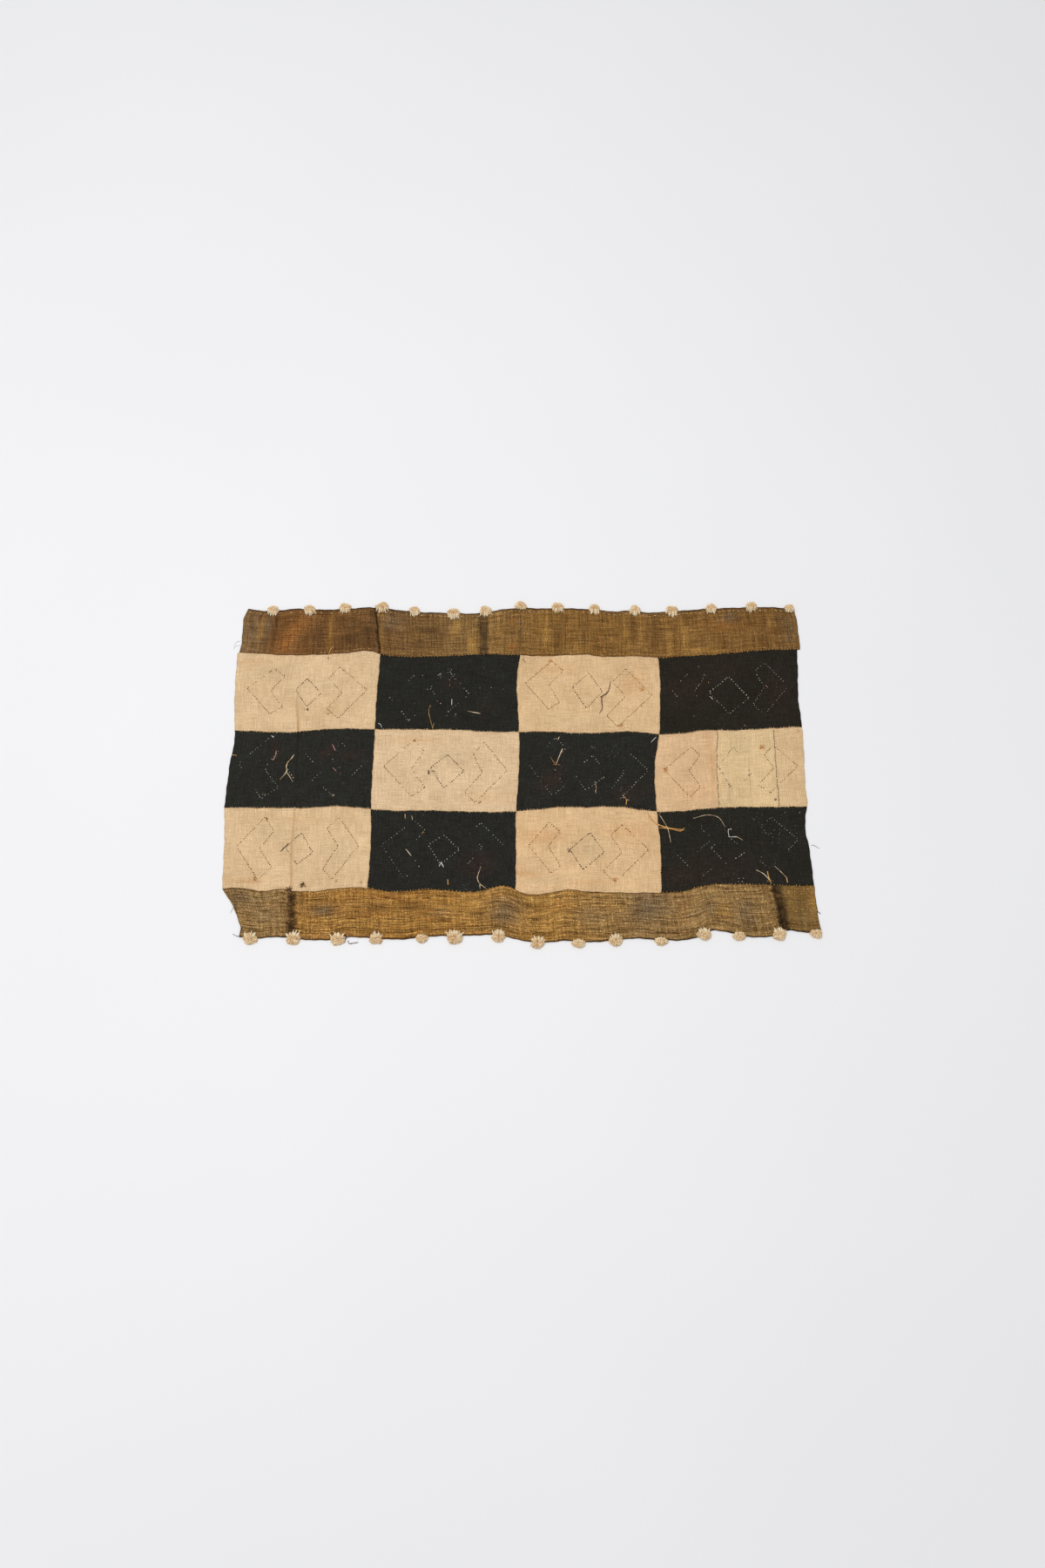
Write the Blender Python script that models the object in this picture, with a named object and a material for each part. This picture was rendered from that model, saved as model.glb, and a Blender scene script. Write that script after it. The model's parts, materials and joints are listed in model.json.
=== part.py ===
"""A Kuba raffia cloth lying flat with its reverse side up: twelve check panels in four columns and three rows,
a border strip above and below them, and a row of raffia pompoms along each border's outer edge.

X runs along the cloth, Y runs up it from the lower border to the upper one, and the floor is Z = 0.
The tables are in millimetres, and everything in the scene is in metres."""

import math

import bmesh
import bpy
import numpy as np
from mathutils import Matrix, Vector

MM = 0.001

# The cloth
THICKNESS = 1.5
HEM_EXTRA = 0.9
TOP_HEM_WIDTH = 9.0
BOTTOM_HEM_WIDTH = 17.0
HEM_SLOPE = 2.0
GAP = 0.3

# The mesh: cells across one column of panels, the height of a cell, and how far into a border strip a
# slanting end shifts it
COLUMNS = (-641, -320, -2, 310, 636)
CELLS_ACROSS = 10
CELL = 31.0
END_REACH = 90.0

# Lines that run along the cloth, each read from left to right
TOP_EDGE = {
    "x": (-623, -598, -552, -523, -468, -386, -345, -302, -226, -167, -75, -48, -7, 58, 132, 189, 227, 245,
          290, 372, 427, 492, 548, 611, 634),
    "y": (392, 388, 388, 392, 390, 393, 396, 392, 384, 382, 383, 389, 394, 393, 393, 389, 385, 388,
          383, 387, 392, 395, 397, 394, 391),
}
TOP_SEAM = {
    "x": (-645, -592, -538, -485, -432, -385, -334, -318, -272, -183, -69, 4, 48, 101, 155, 189, 253, 288,
          316, 359, 407, 445, 493, 559, 641),
    "y": (281, 279, 275, 275, 277, 281, 284, 278, 272, 272, 277, 275, 272, 274, 276, 271, 272, 271,
          268, 271, 274, 276, 281, 288, 289),
}
UPPER_SEAM = {
    "x": (-645, -583, -538, -495, -460, -393, -322, -198, -132, -76, -31, 63, 141, 186, 241, 275, 313,
          359, 417, 474, 566, 641),
    "y": (90, 87, 85, 86, 90, 94, 92, 91, 90, 86, 85, 87, 83, 84, 87, 85, 80, 81, 89, 89, 94, 98),
}
LOWER_SEAM = {
    "x": (-645, -528, -463, -408, -325, -270, -215, -138, -72, -7, 56, 89, 144, 194, 231, 264, 302, 363,
          397, 454, 566, 641),
    "y": (-94, -95, -95, -91, -97, -101, -100, -102, -104, -102, -97, -93, -94, -92, -94, -99, -103, -101,
          -97, -93, -92, -91),
}
BOTTOM_SEAM = {
    "x": (-645, -587, -560, -505, -483, -450, -374, -327, -290, -257, -190, -131, -97, -14, 3, 45, 109,
          146, 187, 271, 353, 400, 478, 581, 641),
    "y": (-279, -278, -284, -280, -284, -285, -277, -277, -284, -285, -280, -285, -286, -277, -287, -291,
          -281, -285, -287, -288, -284, -272, -269, -272, -272),
}
BOTTOM_EDGE = {
    "x": (-600, -585, -498, -445, -403, -370, -315, -254, -196, -118, -30, -5, 61, 97, 144, 252, 288, 377,
          410, 434, 481, 541, 570, 620, 643),
    "y": (-384, -387, -386, -392, -392, -386, -388, -391, -385, -383, -384, -391, -397, -394, -397, -389,
          -391, -387, -372, -373, -384, -383, -372, -376, -372),
}

# Lines that run up the cloth, each read from the bottom to the top
LEFT_EDGE = {
    "y": (-283, -244, -152, -94, -40, 31, 55, 90, 142, 191, 285),
    "x": (-637, -638, -641, -645, -643, -638, -634, -635, -639, -641, -641),
}
RIGHT_EDGE = {
    "y": (-275, -235, -185, -147, -113, -91, -44, 42, 99, 169, 231, 290),
    "x": (635, 633, 630, 625, 627, 632, 631, 633, 633, 629, 632, 634),
}
SEAM_A = {"y": (-285, -154, -99, 49, 191, 241, 285), "x": (-325, -322, -324, -322, -320, -317, -316)}
SEAM_B = {"y": (-290, -221, -100, -22, 49, 142, 204, 280), "x": (-7, -6, -6, -1, 1, -2, -5, 3)}
SEAM_C = {"y": (-290, -176, -101, 14, 80, 155, 217, 272), "x": (306, 307, 302, 302, 313, 317, 319, 316)}
STRIP_SEAM_1 = {"y": (-95, 5, 92), "x": (439, 438, 444)}
STRIP_SEAM_2 = {"y": (-95, 10, 96), "x": (571, 569, 569)}
TOP_LEFT_END = {"y": (278, 302, 334, 370, 392), "x": (-638, -634, -633, -632, -623)}
TOP_RIGHT_END = {"y": (288, 320, 359, 391), "x": (641, 640, 638, 634)}
TOP_FOLD = {"y": (275, 400), "x": (-317, -331)}
TOP_PLEAT = {"y": (270, 390), "x": (-88, -89)}
BOTTOM_LEFT_END = {
    "y": (-388, -364, -353, -324, -307, -293, -279),
    "x": (-595, -592, -596, -609, -617, -628, -637),
}
BOTTOM_RIGHT_END = {"y": (-376, -339, -270), "x": (643, 639, 635)}
BOTTOM_JOIN_1 = {"y": (-390, -275), "x": (-482, -488)}
BOTTOM_JOIN_2 = {"y": (-390, -265), "x": (570, 548)}

# Soft folds and puckers where the cloth lifts off the floor: middle, half length, half width, the direction
# that the fold runs in (0 along X, 90 along Y), and height
FOLDS = {
    "x": (-498, -493, -490, -79, -325, -484, 556, 403, -441, -32, 226, 308, 520, -270, 90, 440, -555, 600),
    "y": (140, 0, -185, 322, 325, -322, -315, -322, 335, 335, 330, 345, 325, -322, -330, -60, -312, 130),
    "length": (60, 75, 75, 45, 50, 46, 48, 46, 50, 45, 45, 55, 50, 66, 76, 60, 56, 50),
    "width": (26, 26, 26, 26, 22, 26, 26, 34, 26, 30, 28, 27, 30, 32, 34, 30, 30, 28),
    "turn": (92, 89, 91, 90, 97, 93, 100, 75, 85, 80, 95, 88, 80, 25, 160, 30, 60, 110),
    "height": (2.2, 2.4, 2.2, 3.0, 2.2, 2.6, 3.0, 4.5, 2.5, 3.0, 2.5, 2.5, 2.5, 3.0, 3.0, 2.5, 3.0, 2.5),
}

# Panels, from the top row to the bottom one: T is tan and K is near-black
CHECKS = ("TKTK", "KTKT", "TKTK")

# Pompoms: place along the edge, width, and how far the middle lies out from the edge
TOP_POMPOMS = {
    "x": (-565, -482, -400, -315, -240, -151, -77, 4, 89, 174, 267, 352, 442, 535, 622),
    "width": (26, 26, 26, 26, 25, 29, 26, 27, 26, 26, 26, 28, 26, 26, 22),
    "out": (0, -2, 2, 4, 1, -2, 4, 5, 3, 1, 1, 1, 0, 1, 0),
}
BOTTOM_POMPOMS = {
    "x": (-570, -478, -384, -303, -206, -136, -43, 40, 127, 206, 302, 394, 468, 554, 632),
    "width": (29, 31, 29, 26, 26, 33, 29, 29, 28, 28, 26, 29, 26, 28, 25),
    "out": (3, 2, 4, 3, 3, 5, 3, 3, 4, 3, 4, 2, 4, 4, 5),
}
HEAD_RADIUS = 6.0
HEAD_HEIGHT = 10.0

# A lock's bend and tip: its width as a share of the reach there, and how far it rises off what it rests on
BEND = {"reach": 2.5, "width": 0.50, "rise": 6.0}
TIP = {"reach": 2.5, "width": 0.44, "rise": 3.2}

COLOURS = {
    "tan": (0.66, 0.47, 0.26),
    "black": (0.026, 0.026, 0.021),
    "olive": (0.19, 0.105, 0.035),
    "ochre": (0.29, 0.155, 0.05),
    "pompom": (0.62, 0.43, 0.22),
}
ROUGHNESS = 0.85


def smooth(table, along, across):
    """A function that reads a table as one smooth curve through its rows."""
    t = np.array(table[along], float)
    v = np.array(table[across], float)
    slopes = np.gradient(v, t)

    def value(at):
        i = int(np.clip(np.searchsorted(t, at) - 1, 0, len(t) - 2))
        span = t[i + 1] - t[i]
        u = float(np.clip((at - t[i]) / span, 0, 1))
        rise = v[i + 1] - v[i]
        start, end = slopes[i] * span, slopes[i + 1] * span
        return v[i] + u * (start + u * (3 * rise - 2 * start - end + u * (start + end - 2 * rise)))

    return value


def stations():
    """The places along the cloth where every sheet has a line of points, so that neighbours fit each other."""
    places = [COLUMNS[0] - 30, COLUMNS[-1] + 30]
    for start, end in zip(COLUMNS, COLUMNS[1:]):
        cell = (end - start) / CELLS_ACROSS
        places += [start + cell * (i + 0.5) for i in range(CELLS_ACROSS)]
    return sorted(places)


STATIONS = stations()


def row_line(table):
    """A line along the cloth, straight between one station and the next."""
    curve = smooth(table, "x", "y")
    heights = [curve(x) for x in STATIONS]
    return lambda x: float(np.interp(x, STATIONS, heights))


def column_line(table):
    return smooth(table, "y", "x")


def material(name):
    """One matt Principled material for each dye."""
    made = bpy.data.materials.get(name)
    if made is None:
        made = bpy.data.materials.new(name)
        made.use_nodes = True
        shader = made.node_tree.nodes["Principled BSDF"]
        shader.inputs["Base Color"].default_value = (*COLOURS[name], 1)
        shader.inputs["Roughness"].default_value = ROUGHNESS
        shader.inputs["Metallic"].default_value = 0.0
    return made


def lift(x, y):
    """How high the cloth's underside stands off the floor: nought but on the soft folds."""
    height = 0.0
    for i in range(len(FOLDS["x"])):
        turn = math.radians(FOLDS["turn"][i])
        dx, dy = x - FOLDS["x"][i], y - FOLDS["y"][i]
        along = abs(dx * math.cos(turn) + dy * math.sin(turn)) / FOLDS["length"][i]
        aside = abs(dy * math.cos(turn) - dx * math.sin(turn)) / FOLDS["width"][i]
        if along < 1 and aside < 1:
            swell = math.cos(math.pi / 2 * along) ** 2 * math.cos(math.pi / 2 * aside) ** 2
            height = max(height, FOLDS["height"][i] * swell)
    return height


def rung(t, left, right, low, high, held):
    """One row of points, from the left line to the right one, at share t from the low line to the high one.
    held is the line whose points keep to the stations, where the ends of a border strip slant."""

    def up(x):
        return low(x) + GAP / 2 + t * (high(x) - low(x) - GAP)

    def meet(side, shift):
        x = side(up(0))
        for _ in range(6):
            x = side(up(x)) + shift
        return x

    start, end = meet(left, GAP / 2), meet(right, -GAP / 2)
    first, last = (side(held(side(held(0)))) for side in (left, right)) if held else (start, end)
    xs = [start]
    for x in STATIONS:
        if first + GAP < x < last - GAP:
            near_left = max(0, 1 - (x - first) / END_REACH)
            near_right = max(0, 1 - (last - x) / END_REACH)
            xs.append(x + near_left * (start - first) + near_right * (end - last))
    return [(x, up(x)) for x in [*xs, end]]


def sheet(name, dye, left, right, low, high, held=None, hem=0.0):
    """A flat sheet between four lines. A border strip has a hem of this width along the edge that isn't held."""
    tall = high(0) - low(0)
    count = max(3, round(tall / CELL))
    shares = [i / count for i in range(count + 1)]
    if hem:
        fold = [hem / tall, (hem + HEM_SLOPE) / tall]
        shares = [0, *fold, *(t for t in shares if t > fold[1] + 0.1)]
    doubled = 2 if hem else 0
    if held is low:
        shares = [1 - t for t in shares]
    bm = bmesh.new()
    rungs = []
    for number, t in enumerate(shares):
        thick = THICKNESS + (HEM_EXTRA if number < doubled else 0)
        rungs.append([])
        for x, y in rung(t, left, right, low, high, held):
            under = lift(x, y)
            rungs[-1].append([bm.verts.new((x * MM, y * MM, z * MM)) for z in (under, under + thick)])
    if held is low:
        rungs.reverse()
    for below, above in zip(rungs, rungs[1:]):
        for a, b, c, d in zip(below, below[1:], above[1:], above):
            bm.faces.new((a[1], b[1], c[1], d[1]))
            bm.faces.new((d[0], c[0], b[0], a[0]))
    ends = [points[-1] for points in rungs[1:]], [points[0] for points in rungs[-2:0:-1]]
    rim = [*rungs[0], *ends[0], *rungs[-1][-2::-1], *ends[1]]
    for a, b in zip(rim, [*rim[1:], rim[0]]):
        bm.faces.new((a[0], b[0], b[1], a[1]))
    finish(bm, name, dye)


def finish(bm, name, dye):
    mesh = bpy.data.meshes.new(name)
    bm.to_mesh(mesh)
    bm.free()
    made = bpy.data.objects.new(name, mesh)
    mesh.materials.append(material(dye))
    bpy.context.scene.collection.objects.link(made)
    return made


def pompom(name, x, edge, width, out, outward):
    """Ten locks of raffia fused in a small head, which is sewn on the cloth's edge. Three locks bend down to
    the floor beyond the edge, and the others rest on the cloth. outward is 1 at the top edge, -1 at the bottom."""
    rest = THICKNESS + HEM_EXTRA + GAP
    middle = rest + HEAD_HEIGHT / 2
    bm = bmesh.new()
    bmesh.ops.create_icosphere(bm, subdivisions=1, radius=1.0)
    bmesh.ops.rotate(bm, verts=bm.verts, matrix=Matrix.Rotation(math.radians(18), 3, "Z"))
    bmesh.ops.scale(bm, verts=bm.verts, vec=(HEAD_RADIUS, HEAD_RADIUS, HEAD_HEIGHT / 2))
    bmesh.ops.translate(bm, verts=bm.verts, vec=(0, 0, middle))
    sides = [f for f in bm.faces if abs(f.calc_center_median().z - middle) < HEAD_HEIGHT / 4]
    locks = bmesh.ops.extrude_discrete_faces(bm, faces=sides)["faces"]
    for lock in locks:
        centre = lock.calc_center_median()
        away = Vector((centre.x, centre.y, 0)).normalized()
        foot = 0.0 if away.y * outward > 0.5 else rest
        bend = HEAD_RADIUS + BEND["reach"]
        set_station(lock, away, bend, foot, BEND)
        reach = max(width / 2 + out * outward * away.y, bend + TIP["reach"])
        tip = bmesh.ops.extrude_discrete_faces(bm, faces=[lock])["faces"][0]
        set_station(tip, away, reach, foot, TIP)
    bmesh.ops.scale(bm, verts=bm.verts, vec=(MM, MM, MM))
    bmesh.ops.translate(bm, verts=bm.verts, vec=(x * MM, edge(x) * MM, 0))
    bmesh.ops.recalc_face_normals(bm, faces=bm.faces)
    return finish(bm, name, "pompom")


def set_station(face, away, reach, foot, size):
    """Stands a lock's end face across its direction at this reach, level on its foot."""
    aside = Vector((-away.y, away.x, 0))
    centre = face.calc_center_median()
    lowest = min(v.co.z for v in face.verts)
    highest = max(v.co.z for v in face.verts)
    widest = max(abs((v.co - centre).dot(aside)) for v in face.verts)
    for v in face.verts:
        side = (v.co - centre).dot(aside) / widest * size["width"] / 2 * reach
        height = foot + size["rise"] * (v.co.z - lowest) / (highest - lowest)
        v.co = away * reach + aside * side + Vector((0, 0, height))


for thing in list(bpy.data.objects):
    bpy.data.objects.remove(thing)

top_edge, top_seam, upper_seam = row_line(TOP_EDGE), row_line(TOP_SEAM), row_line(UPPER_SEAM)
lower_seam, bottom_seam, bottom_edge = row_line(LOWER_SEAM), row_line(BOTTOM_SEAM), row_line(BOTTOM_EDGE)
left_edge, seam_a, seam_b = column_line(LEFT_EDGE), column_line(SEAM_A), column_line(SEAM_B)
seam_c, right_edge = column_line(SEAM_C), column_line(RIGHT_EDGE)

# Check panels
across_lines = (top_seam, upper_seam, lower_seam, bottom_seam)
upright_lines = (left_edge, seam_a, seam_b, seam_c, right_edge)
for row, letters in enumerate(CHECKS):
    high, low = across_lines[row], across_lines[row + 1]
    for column, letter in enumerate(letters):
        dye = "tan" if letter == "T" else "black"
        name = f"check_{row + 1}_{column + 1}_{dye}"
        left, right = upright_lines[column], upright_lines[column + 1]
        if (row, column) == (1, 3):
            lines = (left, column_line(STRIP_SEAM_1), column_line(STRIP_SEAM_2), right)
            for strip, ends in enumerate(zip(lines, lines[1:])):
                sheet(f"{name}_strip_{strip + 1}", dye, *ends, low, high)
        else:
            sheet(name, dye, left, right, low, high)

# Border strips
top_lines = [column_line(line) for line in (TOP_LEFT_END, TOP_FOLD, TOP_PLEAT, TOP_RIGHT_END)]
bottom_lines = [column_line(line) for line in (BOTTOM_LEFT_END, BOTTOM_JOIN_1, BOTTOM_JOIN_2, BOTTOM_RIGHT_END)]
for i in range(3):
    ends = top_lines[i : i + 2]
    sheet(f"top_border_{i + 1}", "olive", *ends, top_seam, top_edge, top_seam, TOP_HEM_WIDTH)
    ends = bottom_lines[i : i + 2]
    sheet(f"bottom_border_{i + 1}", "ochre", *ends, bottom_edge, bottom_seam, bottom_seam, BOTTOM_HEM_WIDTH)

# Pompoms
for side, table, edge, outward in (("top", TOP_POMPOMS, top_edge, 1), ("bottom", BOTTOM_POMPOMS, bottom_edge, -1)):
    for i, (x, width, out) in enumerate(zip(table["x"], table["width"], table["out"])):
        pompom(f"{side}_pompom_{i + 1:02d}", x, edge, width, out, outward)
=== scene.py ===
# %% [markdown]
# # A Kuba raffia cloth, lying with its reverse side up
# The cloth is twelve panels of plain raffia weave, tan and near-black by turns, between two dyed border
# strips with a row of pompoms each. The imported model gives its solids. This script gives it its looks: the
# weave and dye of each cloth, the running stitches that hold the patches on the hidden side, the sewing,
# the loose raffia ends and the pompoms' strands.

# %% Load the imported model
import json
import math
import random

import bmesh
import bpy
import numpy as np
from mathutils import Matrix, Vector

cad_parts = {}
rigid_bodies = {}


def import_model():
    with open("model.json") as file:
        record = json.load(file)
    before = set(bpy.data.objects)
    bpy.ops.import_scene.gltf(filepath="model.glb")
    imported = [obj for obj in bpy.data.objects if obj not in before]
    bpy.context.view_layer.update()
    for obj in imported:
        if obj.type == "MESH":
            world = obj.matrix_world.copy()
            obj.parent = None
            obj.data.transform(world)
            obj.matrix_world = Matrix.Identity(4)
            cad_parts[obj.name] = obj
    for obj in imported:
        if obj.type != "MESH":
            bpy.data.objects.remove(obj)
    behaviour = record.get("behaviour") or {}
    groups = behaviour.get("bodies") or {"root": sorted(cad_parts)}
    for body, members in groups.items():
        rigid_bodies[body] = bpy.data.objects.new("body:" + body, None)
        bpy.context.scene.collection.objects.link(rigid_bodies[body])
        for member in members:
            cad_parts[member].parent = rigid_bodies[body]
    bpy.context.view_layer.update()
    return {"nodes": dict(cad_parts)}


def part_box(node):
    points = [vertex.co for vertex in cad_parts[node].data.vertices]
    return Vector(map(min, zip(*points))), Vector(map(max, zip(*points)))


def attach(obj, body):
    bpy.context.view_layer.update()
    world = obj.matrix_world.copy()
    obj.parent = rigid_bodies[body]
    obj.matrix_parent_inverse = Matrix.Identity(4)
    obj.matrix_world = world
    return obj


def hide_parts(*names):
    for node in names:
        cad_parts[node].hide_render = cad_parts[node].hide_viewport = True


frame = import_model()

MM = 0.001
print("packed nodes:", len(frame["nodes"]))

# %% [markdown]
# ## Camera
# The photograph looks down on the cloth from a height of about 3 m, tilted by nearly a quarter of a right
# angle. A perspective camera there gives the same lean of the outline. Its place is worked out from the
# distance and the tilt, so that each can be changed by itself.

# %% Camera
TILT = math.radians(20.697)
DISTANCE = 3.36
AIM = Vector((0.008, -0.038, 0.0))


def placed(name, data):
    """A new object in the scene."""
    made = bpy.data.objects.new(name, data)
    bpy.context.scene.collection.objects.link(made)
    return made


camera_data = bpy.data.cameras.new("camera")
camera_data.lens = 35
camera_data.sensor_width = 36
camera = placed("camera", camera_data)
camera.location = AIM + DISTANCE * Vector((0, -math.sin(TILT), math.cos(TILT)))
camera.rotation_euler = (TILT, 0, 0)
bpy.context.scene.camera = camera
print("camera at", [round(v, 3) for v in camera.location])

# %% [markdown]
# ## Node helpers
# A material is a tree of nodes. Small helpers keep the trees readable: one adds a node with its settings
# and inputs, and the others are short for the nodes that a weave needs often. Each of those finds its tree
# from a socket that it is given.


# %% Node helpers
def add(tree, kind, values=(), **settings):
    """Adds a node. Its inputs are numbers, colours or other nodes' outputs, by number or by name."""
    made = tree.nodes.new("ShaderNode" + kind)
    for key, value in settings.items():
        setattr(made, key, value)
    for key, value in values.items() if isinstance(values, dict) else enumerate(values):
        if isinstance(value, bpy.types.NodeSocket):
            tree.links.new(value, made.inputs[key])
        else:
            made.inputs[key].default_value = value
    return made


def work(operation, *values, kind="Math", **settings):
    """The output of one Math node."""
    tree = next(value.id_data for value in values if isinstance(value, bpy.types.NodeSocket))
    return add(tree, kind, values, operation=operation, **settings).outputs[0]


def times(a, b):
    return work("MULTIPLY", a, b)


def plus(a, b):
    return work("ADD", a, b)


def less(a, b, **settings):
    return work("SUBTRACT", a, b, **settings)


def scaled(vector, size):
    """The output of one node that scales a vector or a colour."""
    return add(vector.id_data, "VectorMath", {0: vector, "Scale": size}, operation="SCALE").outputs[0]


def between(value, low, high, to_low=0.0, to_high=1.0):
    """The value, spread from one range to another and kept inside it, with soft ends."""
    inputs = value, low, high, to_low, to_high
    return add(value.id_data, "MapRange", inputs, interpolation_type="SMOOTHSTEP").outputs[0]


def noise(place, scale, detail, roughness=0.5):
    """The outputs of one noise texture."""
    inputs = {"Vector": place, "Scale": scale, "Detail": detail, "Roughness": roughness}
    return add(place.id_data, "TexNoise", inputs).outputs


def blend_colours(share, first, second, kind="MIX"):
    """The output of one node that mixes two colours."""
    colours = {0: share, 6: first, 7: second}
    return add(share.id_data, "Mix", colours, data_type="RGBA", blend_type=kind).outputs[2]


def link_all(sockets, values):
    """Links each output to the socket of its name."""
    for name, value in values.items():
        value.id_data.links.new(value, sockets[name])


def new_group(name, inputs, outputs):
    """A shader node group with named sockets, and the sockets of its input and output nodes."""
    tree = bpy.data.node_groups.new(name, "ShaderNodeTree")
    for side, sockets in (("INPUT", inputs), ("OUTPUT", outputs)):
        for label, kind in sockets.items():
            tree.interface.new_socket(name=label, in_out=side, socket_type="NodeSocket" + kind)
    return tree, tree.nodes.new("NodeGroupInput").outputs, tree.nodes.new("NodeGroupOutput").inputs


def new_finish(name):
    """A material, its tree and its shader."""
    made = bpy.data.materials.new(name)
    made.use_nodes = True
    return made, made.node_tree, made.node_tree.nodes["Principled BSDF"]


def linear(red, green, blue):
    """A colour given as it is seen on a screen, from 0 to 255, in the renderer's linear light."""
    parts = [c / 255 for c in (red, green, blue)]
    return (*(c / 12.92 if c <= 0.04045 else ((c + 0.055) / 1.055) ** 2.4 for c in parts), 1.0)


# %% [markdown]
# ## Floor and light
# The cloth lies on a plain white floor in the even light of a studio. A large lamp far up on the upper left
# gives the soft shadows to the lower right of the pompoms, and a pale sky fills them. The lamp hangs high,
# so that the floor is nearly as bright at its edges as at the cloth. The colours are viewed as they are,
# with the Standard transform, so that dyes can be given as they are seen.

# %% Floor and light
FLOOR = linear(246, 246, 248)
# A slightly darker floor tone, laid in broad random blotches
WORN_FLOOR = linear(242, 242, 244)
FLOOR_SIZE = 12.0
SKY = 0.55
LAMP_POWER = 172
LAMP_SIZE = 2.6
LAMP_PLACE = Vector((-1.5, 0.5, 6.0))

bpy.context.scene.view_settings.view_transform = "Standard"


def as_mesh(bm, name):
    """Turns a bmesh into a mesh."""
    mesh = bpy.data.meshes.new(name)
    bm.to_mesh(mesh)
    bm.free()
    return mesh


def make_floor():
    """A wide white floor just under the cloth."""
    bm = bmesh.new()
    bmesh.ops.create_grid(bm, x_segments=1, y_segments=1, size=FLOOR_SIZE / 2)
    bmesh.ops.translate(bm, verts=bm.verts, vec=(0, 0, -0.1 * MM))
    floor = placed("floor", as_mesh(bm, "floor"))
    paint, tree, shader = new_finish("white floor")
    haze = noise(add(tree, "TexCoord").outputs["Object"], 1.3, 2.0)[0]
    # the floor is a little darker in broad random blotches
    link_all(shader.inputs, {"Base Color": blend_colours(haze, WORN_FLOOR, FLOOR)})
    shader.inputs["Roughness"].default_value = 0.6
    floor.data.materials.append(paint)


def make_light():
    """The lamp and the pale sky."""
    lamp = bpy.data.lights.new("studio lamp", "AREA")
    lamp.energy = LAMP_POWER
    lamp.size = LAMP_SIZE
    hung = placed("studio lamp", lamp)
    hung.location = LAMP_PLACE
    hung.rotation_euler = (-LAMP_PLACE).to_track_quat("-Z", "Y").to_euler()
    world = bpy.data.worlds.new("pale studio")
    world.use_nodes = True
    background = world.node_tree.nodes["Background"]
    background.inputs["Color"].default_value = (1.0, 1.0, 1.0, 1.0)
    background.inputs["Strength"].default_value = SKY
    bpy.context.scene.world = world


make_floor()
make_light()
print("floor", FLOOR_SIZE, "m wide, lamp", LAMP_POWER, "W")

# %% [markdown]
# ## The lines of the cloth
# Every cloth here is hand-woven and hand-sewn, so no edge is straight. The lines below are the outline and
# the seams, in millimetres, measured at the few places where each one bends. One smooth curve runs through
# them, and a small ripple stands for the single stitches that pull at the edge.

# %% Lines
TOP_EDGE = {
    "x": (-623, -598, -552, -523, -468, -386, -345, -302, -226, -167, -75, -48, -7, 58, 132, 189, 227, 245,
          290, 372, 427, 492, 548, 611, 634),
    "y": (392, 388, 388, 392, 390, 393, 396, 392, 384, 382, 383, 389, 394, 393, 393, 389, 385, 388,
          383, 387, 392, 395, 397, 394, 391),
}
TOP_SEAM = {
    "x": (-645, -592, -538, -485, -432, -385, -334, -318, -272, -183, -69, 4, 48, 101, 155, 189, 253, 288,
          316, 359, 407, 445, 493, 559, 641),
    "y": (281, 279, 275, 275, 277, 281, 284, 278, 272, 272, 277, 275, 272, 274, 276, 271, 272, 271,
          268, 271, 274, 276, 281, 288, 289),
}
UPPER_SEAM = {
    "x": (-645, -583, -538, -495, -460, -393, -322, -198, -132, -76, -31, 63, 141, 186, 241, 275, 313,
          359, 417, 474, 566, 641),
    "y": (90, 87, 85, 86, 90, 94, 92, 91, 90, 86, 85, 87, 83, 84, 87, 85, 80, 81, 89, 89, 94, 98),
}
LOWER_SEAM = {
    "x": (-645, -528, -463, -408, -325, -270, -215, -138, -72, -7, 56, 89, 144, 194, 231, 264, 302, 363,
          397, 454, 566, 641),
    "y": (-94, -95, -95, -91, -97, -101, -100, -102, -104, -102, -97, -93, -94, -92, -94, -99, -103, -101,
          -97, -93, -92, -91),
}
BOTTOM_SEAM = {
    "x": (-645, -587, -560, -505, -483, -450, -374, -327, -290, -257, -190, -131, -97, -14, 3, 45, 109,
          146, 187, 271, 353, 400, 478, 581, 641),
    "y": (-279, -278, -284, -280, -284, -285, -277, -277, -284, -285, -280, -285, -286, -277, -287, -291,
          -281, -285, -287, -288, -284, -272, -269, -272, -272),
}
BOTTOM_EDGE = {
    "x": (-600, -585, -498, -445, -403, -370, -315, -254, -196, -118, -30, -5, 61, 97, 144, 252, 288, 377,
          410, 434, 481, 541, 570, 620, 643),
    "y": (-384, -387, -386, -392, -392, -386, -388, -391, -385, -383, -384, -391, -397, -394, -397, -389,
          -391, -387, -372, -373, -384, -383, -372, -376, -372),
}
LEFT_EDGE = {
    "y": (-283, -244, -152, -94, -40, 31, 55, 90, 142, 191, 285),
    "x": (-637, -638, -641, -645, -643, -638, -634, -635, -639, -641, -641),
}
RIGHT_EDGE = {
    "y": (-275, -235, -185, -147, -113, -91, -44, 42, 99, 169, 231, 290),
    "x": (635, 633, 630, 625, 627, 632, 631, 633, 633, 629, 632, 634),
}
SEAM_A = {"y": (-285, -154, -99, 49, 191, 241, 285), "x": (-325, -322, -324, -322, -320, -317, -316)}
SEAM_B = {"y": (-290, -221, -100, -22, 49, 142, 204, 280), "x": (-7, -6, -6, -1, 1, -2, -5, 3)}
SEAM_C = {"y": (-290, -176, -101, 14, 80, 155, 217, 272), "x": (306, 307, 302, 302, 313, 317, 319, 316)}
STRIP_SEAM_1 = {"y": (-95, 5, 92), "x": (439, 438, 444)}
STRIP_SEAM_2 = {"y": (-95, 10, 96), "x": (571, 569, 569)}
TOP_LEFT_END = {"y": (278, 302, 334, 370, 392), "x": (-638, -634, -633, -632, -623)}
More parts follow.
